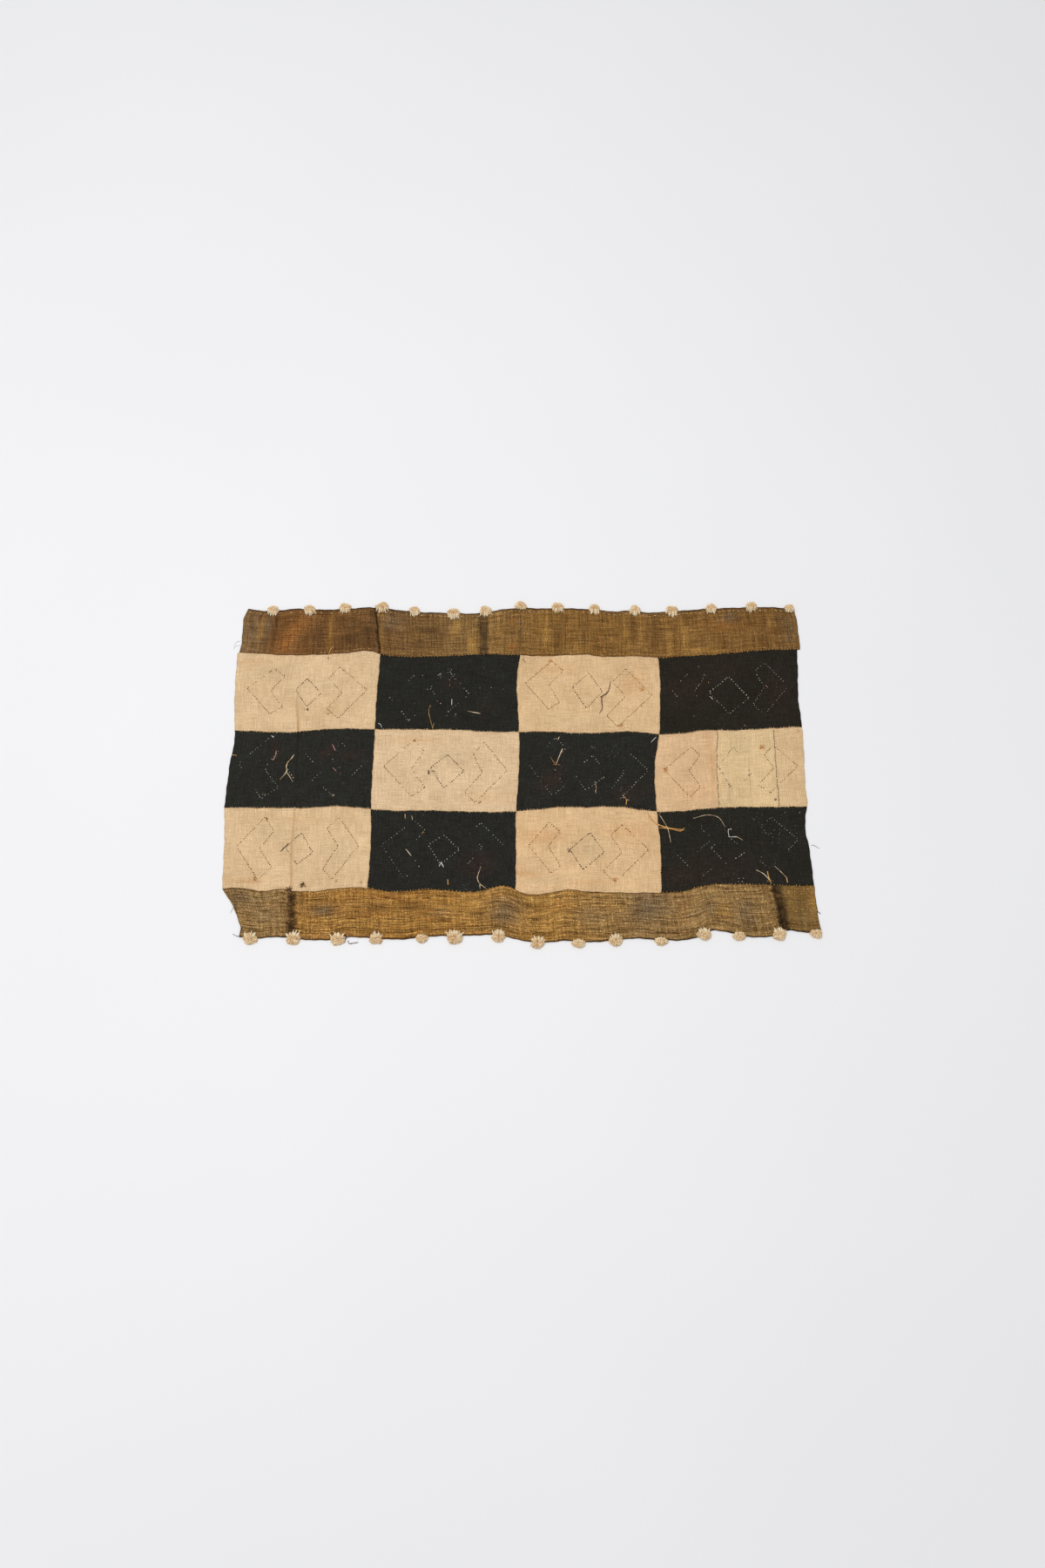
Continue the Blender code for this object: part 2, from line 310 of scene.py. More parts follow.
TOP_RIGHT_END = {"y": (288, 320, 359, 391), "x": (641, 640, 638, 634)}
TOP_FOLD = {"y": (275, 400), "x": (-317, -331)}
TOP_PLEAT = {"y": (270, 390), "x": (-88, -89)}
BOTTOM_LEFT_END = {
    "y": (-388, -364, -353, -324, -307, -293, -279),
    "x": (-595, -592, -596, -609, -617, -628, -637),
}
BOTTOM_RIGHT_END = {"y": (-376, -339, -270), "x": (643, 639, 635)}
BOTTOM_JOIN_1 = {"y": (-390, -275), "x": (-482, -488)}
BOTTOM_JOIN_2 = {"y": (-390, -265), "x": (566, 548)}
RIPPLE = 0.45


def smooth(table, along, across):
    """A function that reads a table as one smooth curve through its rows."""
    t = np.array(table[along], float)
    v = np.array(table[across], float)
    slopes = np.gradient(v, t)

    def value(at):
        at = np.asarray(at, float)
        i = np.clip(np.searchsorted(t, at) - 1, 0, len(t) - 2)
        span = t[i + 1] - t[i]
        u = np.clip((at - t[i]) / span, 0, 1)
        rise = v[i + 1] - v[i]
        start, end = slopes[i] * span, slopes[i + 1] * span
        return v[i] + u * (start + u * (3 * rise - 2 * start - end + u * (start + end - 2 * rise)))

    return value


def rippled(table, along, across, number):
    """The smooth curve with a small unevenness of its own, from single stitches."""
    curve = smooth(table, along, across)
    return lambda at: curve(at) + RIPPLE * (
        np.sin(np.asarray(at) / 8.3 + 1.7 * number) + 0.7 * np.sin(np.asarray(at) / 3.7 + 2.9 * number)
    )


def upright(first, *tables):
    """Lines that run up the cloth, each with a ripple of its own number."""
    return [rippled(table, "y", "x", first + n) for n, table in enumerate(tables)]


level = TOP_EDGE, TOP_SEAM, UPPER_SEAM, LOWER_SEAM, BOTTOM_SEAM, BOTTOM_EDGE
rows = [rippled(table, "x", "y", n) for n, table in enumerate(level)]
top_edge, top_seam, upper_seam, lower_seam, bottom_seam, bottom_edge = rows
uprights = upright(6, LEFT_EDGE, SEAM_A, SEAM_B, SEAM_C, RIGHT_EDGE)
strips = [uprights[3], *upright(11, STRIP_SEAM_1, STRIP_SEAM_2), uprights[4]]
top_lines = upright(13, TOP_LEFT_END, TOP_FOLD, TOP_PLEAT, TOP_RIGHT_END)
bottom_lines = upright(17, BOTTOM_LEFT_END, BOTTOM_JOIN_1, BOTTOM_JOIN_2, BOTTOM_RIGHT_END)
print("the cloth is", round(float(top_edge(0) - bottom_edge(0))), "mm high at its middle")

# %% [markdown]
# ## The patches' outlines
# On the hidden side each panel has three sewn-on patches: a chevron, a diamond and a chevron. Here only
# their running stitches show. Each motif is one of two shapes, set at the place and size that the maker
# gave it by eye, so a table holds just those, and the corners stray a little as hand-cut corners do.

# %% Motifs
CHEVRON = ((0.0, 0.55), (0.76, 1.0), (1.0, 0.80), (0.63, 0.51), (0.93, 0.17), (0.58, 0.0))
DIAMOND = ((0.0, 0.58), (0.48, 1.0), (1.0, 0.45), (0.47, 0.0))
CORNER_STRAY = 3.0
# How far the top of each of the three leans to the right, as a share of its width
LEANS = (-0.05, 0.12, 0.3)
LEAN_STRAY = 0.12

# Each panel's left chevron, diamond and right chevron: middle x, middle y, width, height, and the share
# of its stitches that still shows
MOTIFS = {
    "1_1": ((-571, 186, 86, 113, 0.85), (-477, 183, 57, 73, 1.0), (-389, 182, 92, 123, 0.95)),
    "1_2": ((-255, 169, 70, 114, 0.3), (-157, 183, 86, 101, 0.45), (-74, 183, 73, 116, 0.25)),
    "1_3": ((56, 200, 85, 122, 1.0), (154, 185, 70, 85, 1.0), (250, 169, 95, 139, 1.0)),
    "1_4": ((384, 183, 76, 126, 0.4), (474, 173, 87, 91, 1.0), (567, 193, 81, 129, 0.5)),
    "2_1": ((-575, 0, 95, 146, 0.75), (-474, -7, 77, 87, 0.4), (-390, -1, 80, 127, 0.5)),
    "2_2": ((-252, -2, 92, 138, 0.85), (-160, -7, 74, 82, 1.0), (-70, -11, 89, 141, 1.0)),
    "2_3": ((64, 3, 81, 140, 0.4), (157, -14, 75, 83, 0.5), (243, -14, 78, 120, 0.5)),
    "2_4": ((364, -8, 83, 119, 0.95), (477, -6, 75, 105, 0.5), (575, -2, 85, 112, 0.85)),
    "3_1": ((-573, -187, 83, 137, 0.9), (-475, -191, 59, 71, 1.0), (-385, -186, 77, 139, 0.9)),
    "3_2": ((-253, -188, 93, 133, 0.7), (-163, -188, 68, 69, 0.8), (-71, -188, 82, 116, 0.35)),
    "3_3": ((56, -186, 72, 119, 0.85), (147, -195, 78, 81, 1.0), (233, -199, 88, 134, 0.95)),
    "3_4": ((376, -198, 91, 111, 0.3), (455, -191, 71, 71, 0.75), (562, -174, 83, 119, 0.6)),
}


def motif_corners(shape, mirrored, lean, x, y, width, height, chance):
    """A motif's corners in millimetres."""
    lean += chance.uniform(-LEAN_STRAY, LEAN_STRAY)
    corners = []
    for across, up in shape:
        across = 1 - across if mirrored else across
        stray = [chance.uniform(-CORNER_STRAY, CORNER_STRAY) for _ in range(2)]
        leant = across - 0.5 + lean * (up - 0.5)
        corners.append((x + leant * width + stray[0], y + (up - 0.5) * height + stray[1]))
    return corners


motif_chance = random.Random(21)
outlines = {}
for panel, places in MOTIFS.items():
    outlines[panel] = []
    for number, (*place, shown) in enumerate(places):
        shape = DIAMOND if number == 1 else CHEVRON
        corners = motif_corners(shape, number == 2, LEANS[number], *place, motif_chance)
        outlines[panel].append((corners, shown))
print("motifs:", sum(len(found) for found in outlines.values()))

# %% [markdown]
# ## How high the cloth lies
# Laid on a floor, raffia cloth stays a little stiff: it has soft puckers, a crease down the first column, a
# doubled hem along both long edges, and it dips into its seams. One function gives the height of its upper
# side anywhere, in millimetres, and the sheets, the stitches and the loose threads all use it.

# %% Heights
THICKNESS = 1.5
HEM_EXTRA = 0.9
TOP_HEM_WIDTH = 9.0
BOTTOM_HEM_WIDTH = 17.0
UNDERSIDE = 0.1
THINNEST = 0.6

# Soft folds: middle, half length, half width, the direction that the fold runs in, and height
FOLDS = {
    "x": (-498, -493, -490, -79, -325, -484, 556, 403, -441, -32, 226, 308, 520, -270, 90, 440, -555, 600),
    "y": (140, 0, -185, 322, 325, -322, -315, -322, 335, 335, 330, 345, 325, -322, -330, -60, -312, 130),
    "length": (60, 75, 75, 45, 50, 46, 48, 46, 50, 45, 45, 55, 50, 66, 76, 60, 56, 50),
    "width": (26, 26, 26, 26, 22, 26, 26, 34, 26, 30, 28, 27, 30, 32, 34, 30, 30, 28),
    "turn": (92, 89, 91, 90, 97, 93, 100, 75, 85, 80, 95, 88, 80, 25, 160, 30, 60, 110),
    "height": (2.2, 2.4, 2.2, 3.0, 2.2, 2.6, 3.0, 4.5, 2.5, 3.0, 2.5, 2.5, 2.5, 3.0, 3.0, 2.5, 3.0, 2.5),
}
CREASE = {"y": (-275, -189, -93, 3, 89, 140, 204), "x": (-490, -493, -491, -493, -494, -498, -502)}
CREASE_HEIGHT = {"y": (-280, -200, -95, 0, 90, 130, 200), "high": (1.0, 0.7, 0.6, 0.5, 1.3, 1.0, 0.0)}
crease = smooth(CREASE, "y", "x")


def crease_height(y):
    """How high the old crease stands."""
    return np.interp(y, CREASE_HEIGHT["y"], CREASE_HEIGHT["high"])


def turned(x, y, middle_x, middle_y, turn):
    """How far places lie from a middle, along a direction in degrees and across it."""
    turn = math.radians(turn)
    dx, dy = x - middle_x, y - middle_y
    return dx * math.cos(turn) + dy * math.sin(turn), dy * math.cos(turn) - dx * math.sin(turn)


def lift(x, y):
    """How high the underside stands off the floor on the soft folds."""
    height = np.zeros_like(x)
    for *middle, length, width, turn, high in zip(*FOLDS.values()):
        along, aside = turned(x, y, *middle, turn)
        along = np.clip(np.abs(along) / length, 0, 1)
        aside = np.clip(np.abs(aside) / width, 0, 1)
        swell = np.cos(math.pi / 2 * along) ** 2 * np.cos(math.pi / 2 * aside) ** 2
        height = np.maximum(height, high * swell)
    return height


def unevenness(x, y):
    """Slow waves under a millimetre high, in no one direction."""
    waves = np.sin(x / 31 + y / 57) + np.sin(x / 67 - y / 23 + 1) + np.sin(x / 17 + y / 41 + 2)
    return 0.16 * (waves + 3)


def step(value, start, width):
    """1 below the start, 0 past it, with a soft slope of this width."""
    u = np.clip((value - start) / width, 0, 1)
    return 1 - u * u * (3 - 2 * u)


def pucker(x, y):
    """Small waves beside the seams, where the stitches draw the cloth in."""
    drawn = np.zeros_like(x)
    for n, seam in enumerate(rows[1:5]):
        near = np.exp(-np.abs(y - seam(x)) / 9)
        drawn += near * np.sin(x / 3.1 + 1.3 * np.sin(x / 11 + n)) * 0.22
    inside = (y < top_seam(x)) & (y > bottom_seam(x))
    for n, seam in enumerate(uprights[1:4]):
        near = inside * np.exp(-np.abs(x - seam(y)) / 9)
        drawn += near * np.sin(y / 3.3 + 1.3 * np.sin(y / 13 + n)) * 0.2
    return drawn


def surface(x, y):
    """The height of the cloth's upper side over the floor, in millimetres."""
    x, y = np.asarray(x, float), np.asarray(y, float)
    z = THICKNESS + lift(x, y) + unevenness(x, y) + pucker(x, y)
    z = z + HEM_EXTRA * step(top_edge(x) - y, TOP_HEM_WIDTH, 2.5)
    z = z + HEM_EXTRA * step(y - bottom_edge(x), BOTTOM_HEM_WIDTH, 3.5)
    return z + crease_height(y) * np.exp(-(((x - crease(y)) / 2.6) ** 2))


print("height at the middle", round(float(surface(0.0, 0.0)), 2), "mm")

# %% [markdown]
# ## Dyes
# The tan panels are undyed raffia and differ a little from one loom to the next. The black ones are dyed
# with mud, and some have gone brown in places. The borders were dyed unevenly, in drifts of rust, gold and
# smoky brown. So each sheet carries its dye as a colour attribute: one tone for a panel, and for a border a
# few tones along it, with soft patches laid over them.

# %% Dyes
PANEL_DYES = {
    "1_1": (213, 183, 144), "1_2": (34, 34, 30), "1_3": (214, 181, 139), "1_4": (35, 32, 26),
    "2_1": (37, 37, 33), "2_2": (215, 186, 149), "2_3": (36, 36, 32),
    "2_4_strip_1": (213, 178, 138), "2_4_strip_2": (216, 187, 143), "2_4_strip_3": (211, 180, 139),
    "3_1": (214, 183, 143), "3_2": (35, 35, 32), "3_3": (215, 180, 137), "3_4": (36, 34, 29),
}
TOP_DYES = {"x": (-640, -560, -320, -100, 60, 640),
            "dye": ((118, 92, 60), (108, 74, 40), (106, 76, 43), (118, 91, 54), (122, 89, 46),
                    (112, 81, 43))}
BOTTOM_DYES = {"x": (-640, -500, -470, -200, 100, 260, 540, 565, 640),
               "dye": ((134, 105, 65), (134, 105, 65), (140, 102, 53), (142, 103, 51), (149, 112, 60),
                       (131, 103, 65), (132, 104, 64), (120, 93, 52), (120, 92, 52))}
RUST, GOLD, BROWN, SMOKE, OLIVE = (140, 90, 44), (156, 118, 62), (70, 48, 28), (98, 82, 62), (126, 106, 70)
# The first colour below is a near-black brown: dark dye on the border folds and joins, and painted shade on
# two faint creases of panel 3_4.
SOOT, WINE, WARM, COOL = (36, 26, 15), (56, 38, 33), (200, 150, 98), (196, 176, 138)
SHADE, PALE = (62, 46, 28), (176, 146, 100)
# How much red, green and blue the painted shade along the old crease takes away
CREASE_BROWN = (0.30, 0.42, 0.55)

# Soft patches: dye, x, y, half length, half width, the direction that each runs in, and share
BORDER_PATCHES = (
    (SMOKE, -604, 335, 60, 22, 90, 0.5), (GOLD, -592, 338, 30, 9, 84, 0.5),
    (SMOKE, -574, 352, 40, 10, 84, 0.7), (BROWN, -560, 345, 50, 9, 88, 0.6),
    (RUST, -528, 312, 46, 18, 70, 0.75), (RUST, -500, 352, 30, 20, 60, 0.45),
    (BROWN, -457, 326, 44, 16, 90, 0.6), (GOLD, -431, 325, 50, 5, 90, 0.6),
    (BROWN, -385, 325, 60, 30, 90, 0.4), (BROWN, -348, 330, 64, 12, 94, 0.6),
    (SOOT, -333, 330, 66, 8, 93, 0.4), (GOLD, -313, 335, 60, 4, 93, 0.4),
    (SMOKE, -292, 358, 34, 22, 10, 0.7), (BROWN, -194, 335, 30, 26, 0, 0.4),
    (BROWN, -230, 300, 50, 12, 4, 0.3), (GOLD, -146, 342, 26, 12, 80, 0.6),
    (GOLD, -106, 304, 30, 14, 90, 0.8), (BROWN, -92, 345, 60, 5, 90, 0.4),
    (GOLD, -64, 330, 60, 4, 90, 0.5), (GOLD, -45, 340, 60, 9, 90, 0.4), (RUST, -17, 293, 14, 7, 60, 0.7),
    (RUST, -14, 364, 12, 8, 30, 0.5), (SOOT, 3, 338, 62, 2.5, 90, 0.6), (GOLD, 62, 328, 40, 12, 90, 0.6),
    (BROWN, 92, 325, 46, 14, 90, 0.4), (BROWN, 150, 340, 46, 10, 90, 0.3),
    (RUST, 190, 300, 30, 3, 90, 0.6), (GOLD, 244, 322, 44, 6, 90, 0.6), (BROWN, 262, 330, 50, 7, 90, 0.4),
    (GOLD, 279, 320, 44, 6, 90, 0.6), (BROWN, 312, 330, 46, 14, 90, 0.45),
    (GOLD, 343, 315, 50, 8, 90, 0.6), (GOLD, 377, 318, 46, 12, 90, 0.6),
    (SMOKE, 484, 370, 22, 16, 0, 0.7), (RUST, 455, 348, 34, 16, 0, 0.3),
    (RUST, 508, 350, 24, 14, 0, 0.25), (GOLD, 412, 286, 44, 10, 4, 0.6),
    (BROWN, 560, 340, 50, 12, 90, 0.3), (BROWN, 593, 370, 26, 10, 90, 0.5),
    (SMOKE, 618, 340, 50, 20, 90, 0.5), (GOLD, 574, 356, 22, 5, 84, 0.5),
    (SMOKE, -590, -300, 40, 18, 150, 0.6), (SMOKE, -545, -338, 40, 26, 0, 0.4),
    (OLIVE, -535, -300, 40, 14, 0, 0.4), (BROWN, -487, -330, 70, 13, 92, 0.6),
    (BROWN, -466, -300, 20, 12, 80, 0.4), (RUST, -473, -336, 16, 4, 0, 0.5),
    (GOLD, -463, -366, 26, 14, 90, 0.6), (SMOKE, -418, -328, 30, 14, 0, 0.8),
    (BROWN, -306, -320, 26, 12, 0, 0.5), (BROWN, -234, -320, 24, 12, 0, 0.5),
    (RUST, -285, -297, 60, 12, 0, 0.3), (GOLD, -330, -358, 80, 18, 0, 0.4),
    (GOLD, -400, -352, 34, 10, 0, 0.7), (SMOKE, -166, -332, 26, 12, 0, 0.5),
    (GOLD, -110, -318, 60, 24, 0, 0.4), (SMOKE, -32, -330, 44, 40, 30, 0.8),
    (GOLD, 26, -306, 14, 9, 0, 0.8), (GOLD, 68, -350, 26, 18, 0, 0.8), (RUST, 96, -318, 20, 22, 90, 0.3),
    (SMOKE, 150, -340, 40, 30, 0, 0.5), (GOLD, 210, -318, 30, 10, 0, 0.4),
    (SMOKE, 276, -322, 50, 40, 20, 0.8), (RUST, 350, -330, 14, 40, 0, 0.2),
    (GOLD, 440, -330, 24, 18, 90, 0.5), (SMOKE, 404, -322, 24, 20, 0, 0.4),
    (SMOKE, 486, -330, 40, 30, 90, 0.6), (BROWN, 544, -330, 70, 10, 98, 0.4),
    (BROWN, 572, -330, 60, 6, 96, 0.3), (BROWN, 600, -318, 46, 5, 90, 0.4),
    (GOLD, 631, -304, 34, 9, 90, 0.8), (OLIVE, 608, -352, 26, 16, 90, 0.4),
    (SMOKE, -612, -300, 30, 12, 120, 0.4),
)
TAN_PATCHES = (
    (WARM, -600, 260, 50, 8, 0, 0.3), (WARM, -430, 140, 60, 20, 0, 0.15),
    (COOL, -560, 230, 60, 20, 0, 0.3), (WARM, 260, 205, 46, 30, 60, 0.35),
    (WARM, 80, 240, 60, 16, 0, 0.3), (COOL, 150, 110, 90, 16, 0, 0.3), (WARM, -230, 66, 70, 10, 0, 0.35),
    (WARM, -60, -70, 80, 14, 0, 0.25), (COOL, -150, 30, 70, 22, 0, 0.25), (WARM, 428, 0, 80, 5, 90, 0.55),
    (WARM, 375, -60, 60, 26, 20, 0.25), (WARM, 420, 60, 40, 6, 90, 0.35), (COOL, 500, 60, 60, 30, 0, 0.2),
    (BROWN, 463, -50, 44, 1.6, 90, 0.25), (BROWN, 510, -20, 74, 1.6, 90, 0.2),
    (WARM, 10, -245, 20, 8, 0, 0.5), (WARM, 34, -250, 12, 8, 0, 0.5), (WARM, 50, -160, 60, 22, 0, 0.45),
    (WARM, 240, -150, 60, 24, 0, 0.4), (WARM, 150, -265, 70, 8, 0, 0.3),
    (COOL, 160, -190, 50, 30, 0, 0.3), (COOL, 60, -260, 50, 10, 0, 0.3),
    (WARM, -600, -262, 40, 8, 0, 0.4), (WARM, -568, -260, 14, 9, 0, 0.5),
    (COOL, -540, -150, 60, 24, 0, 0.3), (COOL, -390, -190, 40, 40, 0, 0.3),
    (WARM, -480, -120, 60, 14, 0, 0.2),
)
BLACK_PATCHES = (
    (WINE, -157, 205, 22, 16, 20, 0.4), (WINE, -70, 150, 40, 20, 60, 0.2),
    (WINE, -541, 46, 30, 12, 100, 0.4), (WINE, -425, 38, 24, 12, 30, 0.5),
    (WINE, -375, 30, 24, 16, 0, 0.4), (WINE, 70, -30, 40, 24, 40, 0.45),
    (WINE, 250, -60, 60, 26, 10, 0.3), (WINE, 380, 190, 60, 60, 0, 0.25),
    (WINE, 470, 240, 60, 30, 0, 0.2), (WINE, 590, 180, 40, 60, 0, 0.3),
    (WINE, 430, -240, 90, 40, 0, 0.25), (WINE, -90, -225, 50, 34, 0, 0.4),
    # The near-black brown lines at x 388 and 522 are painted shade of two faint creases down panel 3_4.
    (WINE, 340, -250, 50, 20, 0, 0.4), (SOOT, 388, -190, 90, 4, 90, 0.5),
    (SOOT, 522, -190, 90, 4, 90, 0.4),
)
PANEL_PATCHES = {"tan": TAN_PATCHES, "black": BLACK_PATCHES}
# Crisp bands along the folds and joins of each border: dye, line that it follows, how far to its right its
# middle lies, width and share
BANDS = {
    "olive": (
        (SOOT, top_lines[1], 0, 6.5, 0.85), (GOLD, top_lines[1], 6, 2.5, 0.5),
        (SHADE, top_lines[2], 9.5, 18, 0.85), (PALE, top_lines[2], 20, 2.0, 0.5),
    ),
    "ochre": (
        (SHADE, bottom_lines[1], 0, 15, 0.6), (SHADE, bottom_lines[2], 5, 24, 0.5),
        (SOOT, bottom_lines[2], 3, 19, 0.8),
    ),
}


def drift(dyes, x):
    """The dye along a border, between the tones given for some places along it."""
    tones = zip(*(linear(*tone)[:3] for tone in dyes["dye"]))
    return np.stack([np.interp(x, dyes["x"], tone) for tone in tones], axis=1)


def covered(colours, dye, share):
    """Lays a dye over colours, by its share at each point."""
    share = share[:, None]
    return colours * (1 - share) + np.array(linear(*dye)[:3]) * share


def with_patches(colours, patches, x, y):
    """Lays the soft patches over a dye."""
    for dye, *middle, length, width, turn, share in patches:
        along, aside = turned(x, y, *middle, turn)
        near = np.exp(-1.4 * ((along / length) ** 2 + (aside / width) ** 2))
        colours = covered(colours, dye, share * near)
    return colours


def with_bands(colours, bands, x, y):
    """Lays the crisp bands over a border's dye, each a little broken along its line."""
    for dye, line, start, width, share in bands:
        worn = 0.85 + 0.15 * np.sin(y / 7.3 + start) * np.sin(y / 2.9 + width)
        away = np.abs(x - line(y) - start - 1.2 * np.sin(y / 9.1 + width))
        colours = covered(colours, dye, share * worn * step(away, width / 2 - 1.5, 3.0))
    return colours


def with_crease(colours, x, y):
    """Paints shade along the old crease down the first column: a brown darkening just right of the ridge, as
    deep as the crease is high, most of all in its upper panel.
    """
    worn = np.clip(crease_height(y), 0, 1.2) * np.exp(-(((x - crease(y) - 0.8) / 2.0) ** 2))
    return colours * (1 - worn[:, None] * np.array(CREASE_BROWN))


print("patches of dye:", len(BORDER_PATCHES) + len(TAN_PATCHES) + len(BLACK_PATCHES))

# %% [markdown]
# ## Weave
# Raffia is a flat leaf fibre, about a millimetre wide, and it is woven one over one. Two sine waves give
# that pattern: where both threads cross, one is on top, and at the next crossing the other. A group keeps
# this in one place, since every cloth here is the same weave with threads of another size. A second group
# gives each thread its own tone, and the long thick-and-thin places that hand-split fibre has.

# %% Weave groups
# How far a thread wanders from its straight line
STRAY = 0.0008


def make_weave():
    """The plain weave: its height, which thread is on top, and the number of each crossing."""
    tree, given, out = new_group(
        "plain weave", {"Place": "Vector", "Warp width": "Float", "Weft width": "Float"},
        {"Height": "Float", "Warp on top": "Float", "Crossing": "Vector"},
    )
    wander = noise(given["Place"], 60.0, 2.0)["Color"]
    shift = scaled(less(wander, (0.5, 0.5, 0.5), kind="VectorMath"), STRAY)
    split = add(tree, "SeparateXYZ", (work("ADD", given["Place"], shift, kind="VectorMath"),)).outputs
    across = work("DIVIDE", split["X"], given["Warp width"])
    up = work("DIVIDE", split["Y"], given["Weft width"])
    a, b = (work("SINE", times(count, math.pi)) for count in (across, up))
    both = times(a, b)
    warp, weft = plus(work("ABSOLUTE", a), both), less(work("ABSOLUTE", b), both)
    link_all(out, {
        "Height": times(work("MAXIMUM", warp, weft), 0.5),
        "Warp on top": work("GREATER_THAN", warp, weft),
        "Crossing": add(tree, "CombineXYZ", (work("FLOOR", across), work("FLOOR", up))).outputs[0],
    })
    return tree


def stretched_noise(place, fast, fineness, length, seed, detail=3.0):
    """Noise in long streaks across one direction of the cloth."""
    split = add(place.id_data, "SeparateXYZ", (place,)).outputs
    parts = times(split[fast], fineness), times(split["Y" if fast == "X" else "X"], length), seed
    return noise(add(place.id_data, "CombineXYZ", parts).outputs[0], 1.0, detail, 0.6)[0]


def make_thread_tones():
    """The tone of each thread, its thick places and its warmth."""
    tree, given, out = new_group(
        "thread tones", {"Place": "Vector", "Fineness": "Float", "Length": "Float"},
        {"Warp tone": "Float", "Weft tone": "Float", "Slub": "Float", "Warmth": "Float"},
    )
    place = given["Place"]
    link_all(out, {
        "Warp tone": stretched_noise(place, "X", given["Fineness"], given["Length"], 3.0),
        "Weft tone": stretched_noise(place, "Y", given["Fineness"], given["Length"], 9.0),
        "Slub": between(stretched_noise(place, "Y", 420.0, 26.0, 17.0, 2.0), 0.55, 0.68),
        "Warmth": between(stretched_noise(place, "Y", 90.0, 16.0, 23.0, 4.0), 0.35, 0.65),
    })
    return tree


weave = make_weave()
thread_tones = make_thread_tones()
print("groups:", weave.name, "and", thread_tones.name)

# %% [markdown]
# ## Cloth materials
# The cloths share one recipe, so it is a group too. The dye comes from the sheet's attribute, threads
# lighten and darken it, single crossings stand out where a paler fibre lies on top, and the gaps between
# threads are painted darker, as shade. Near its edges and seams, and on a border's rolled edge, the cloth
# is painted darker too, as shade. Dark threads lose more green and most blue, so they look warm and not
# grey. The weave's height goes to a Bump node. Raffia has a faint dry sheen, so the roughness is high and
# follows the threads.

# %% Cloth recipe
# Each cloth's own values, in this order. The short right strip of the bottom border is a calmer ochre.
# The gap, edge and rolled edge values set how dark the painted shade is in the weave's gaps, near the edges
# and seams, and on a border's rolled edge.
VALUES = ("Warp width", "Weft width", "Fineness", "Length", "Brightness", "Speckle", "Contrast",
          "Pale share", "Pale lift", "Gap", "Warmth", "Slubs", "Edge shade", "Rolled edge", "Hem line",
          "Warp share")
CLOTHS = {
    "tan": (0.0012, 0.0013, 640, 24, 1.12, 0.22, 0.22, 0.05, 1.12, 0.8, 0.12, 0.07, 0.86, 1.0, 0.0, 1.0),
    "black": (0.0012, 0.0013, 560, 30, 1.19, 0.5, 0.4, 0.015, 2.6, 0.75, 0.4, 0.15, 0.6, 1.0, 0.0, 1.0),
    "olive": (0.0017, 0.0019, 370, 15, 1.26, 0.4, 0.68, 0.08, 1.6, 0.6, 0.6, 0.3, 0.55, 0.35, 0.0, 0.85),
    "ochre": (0.0018, 0.0021, 330, 15, 1.34, 0.5, 0.9, 0.1, 1.7, 0.55, 0.6, 0.7, 0.5, 0.4, 0.45, 0.55),
    "calm ochre": (0.0018, 0.0021, 330, 15, 1.18, 0.3, 0.45, 0.1, 1.7, 0.55, 0.6, 0.25, 0.5, 0.4, 0.45,
                   0.55),
}
# Two dark lines along a turned-up hem: how far they lie from the edge, and how much they wander
HEM_LINES = (0.0145, 0.0200)
HEM_WAVE = 0.006
# How much more of its red, green and blue a dark thread loses
SHADE_POWERS = (1.0, 1.1, 1.25)
AGED = (0.97, 0.88, 0.70, 1.0)


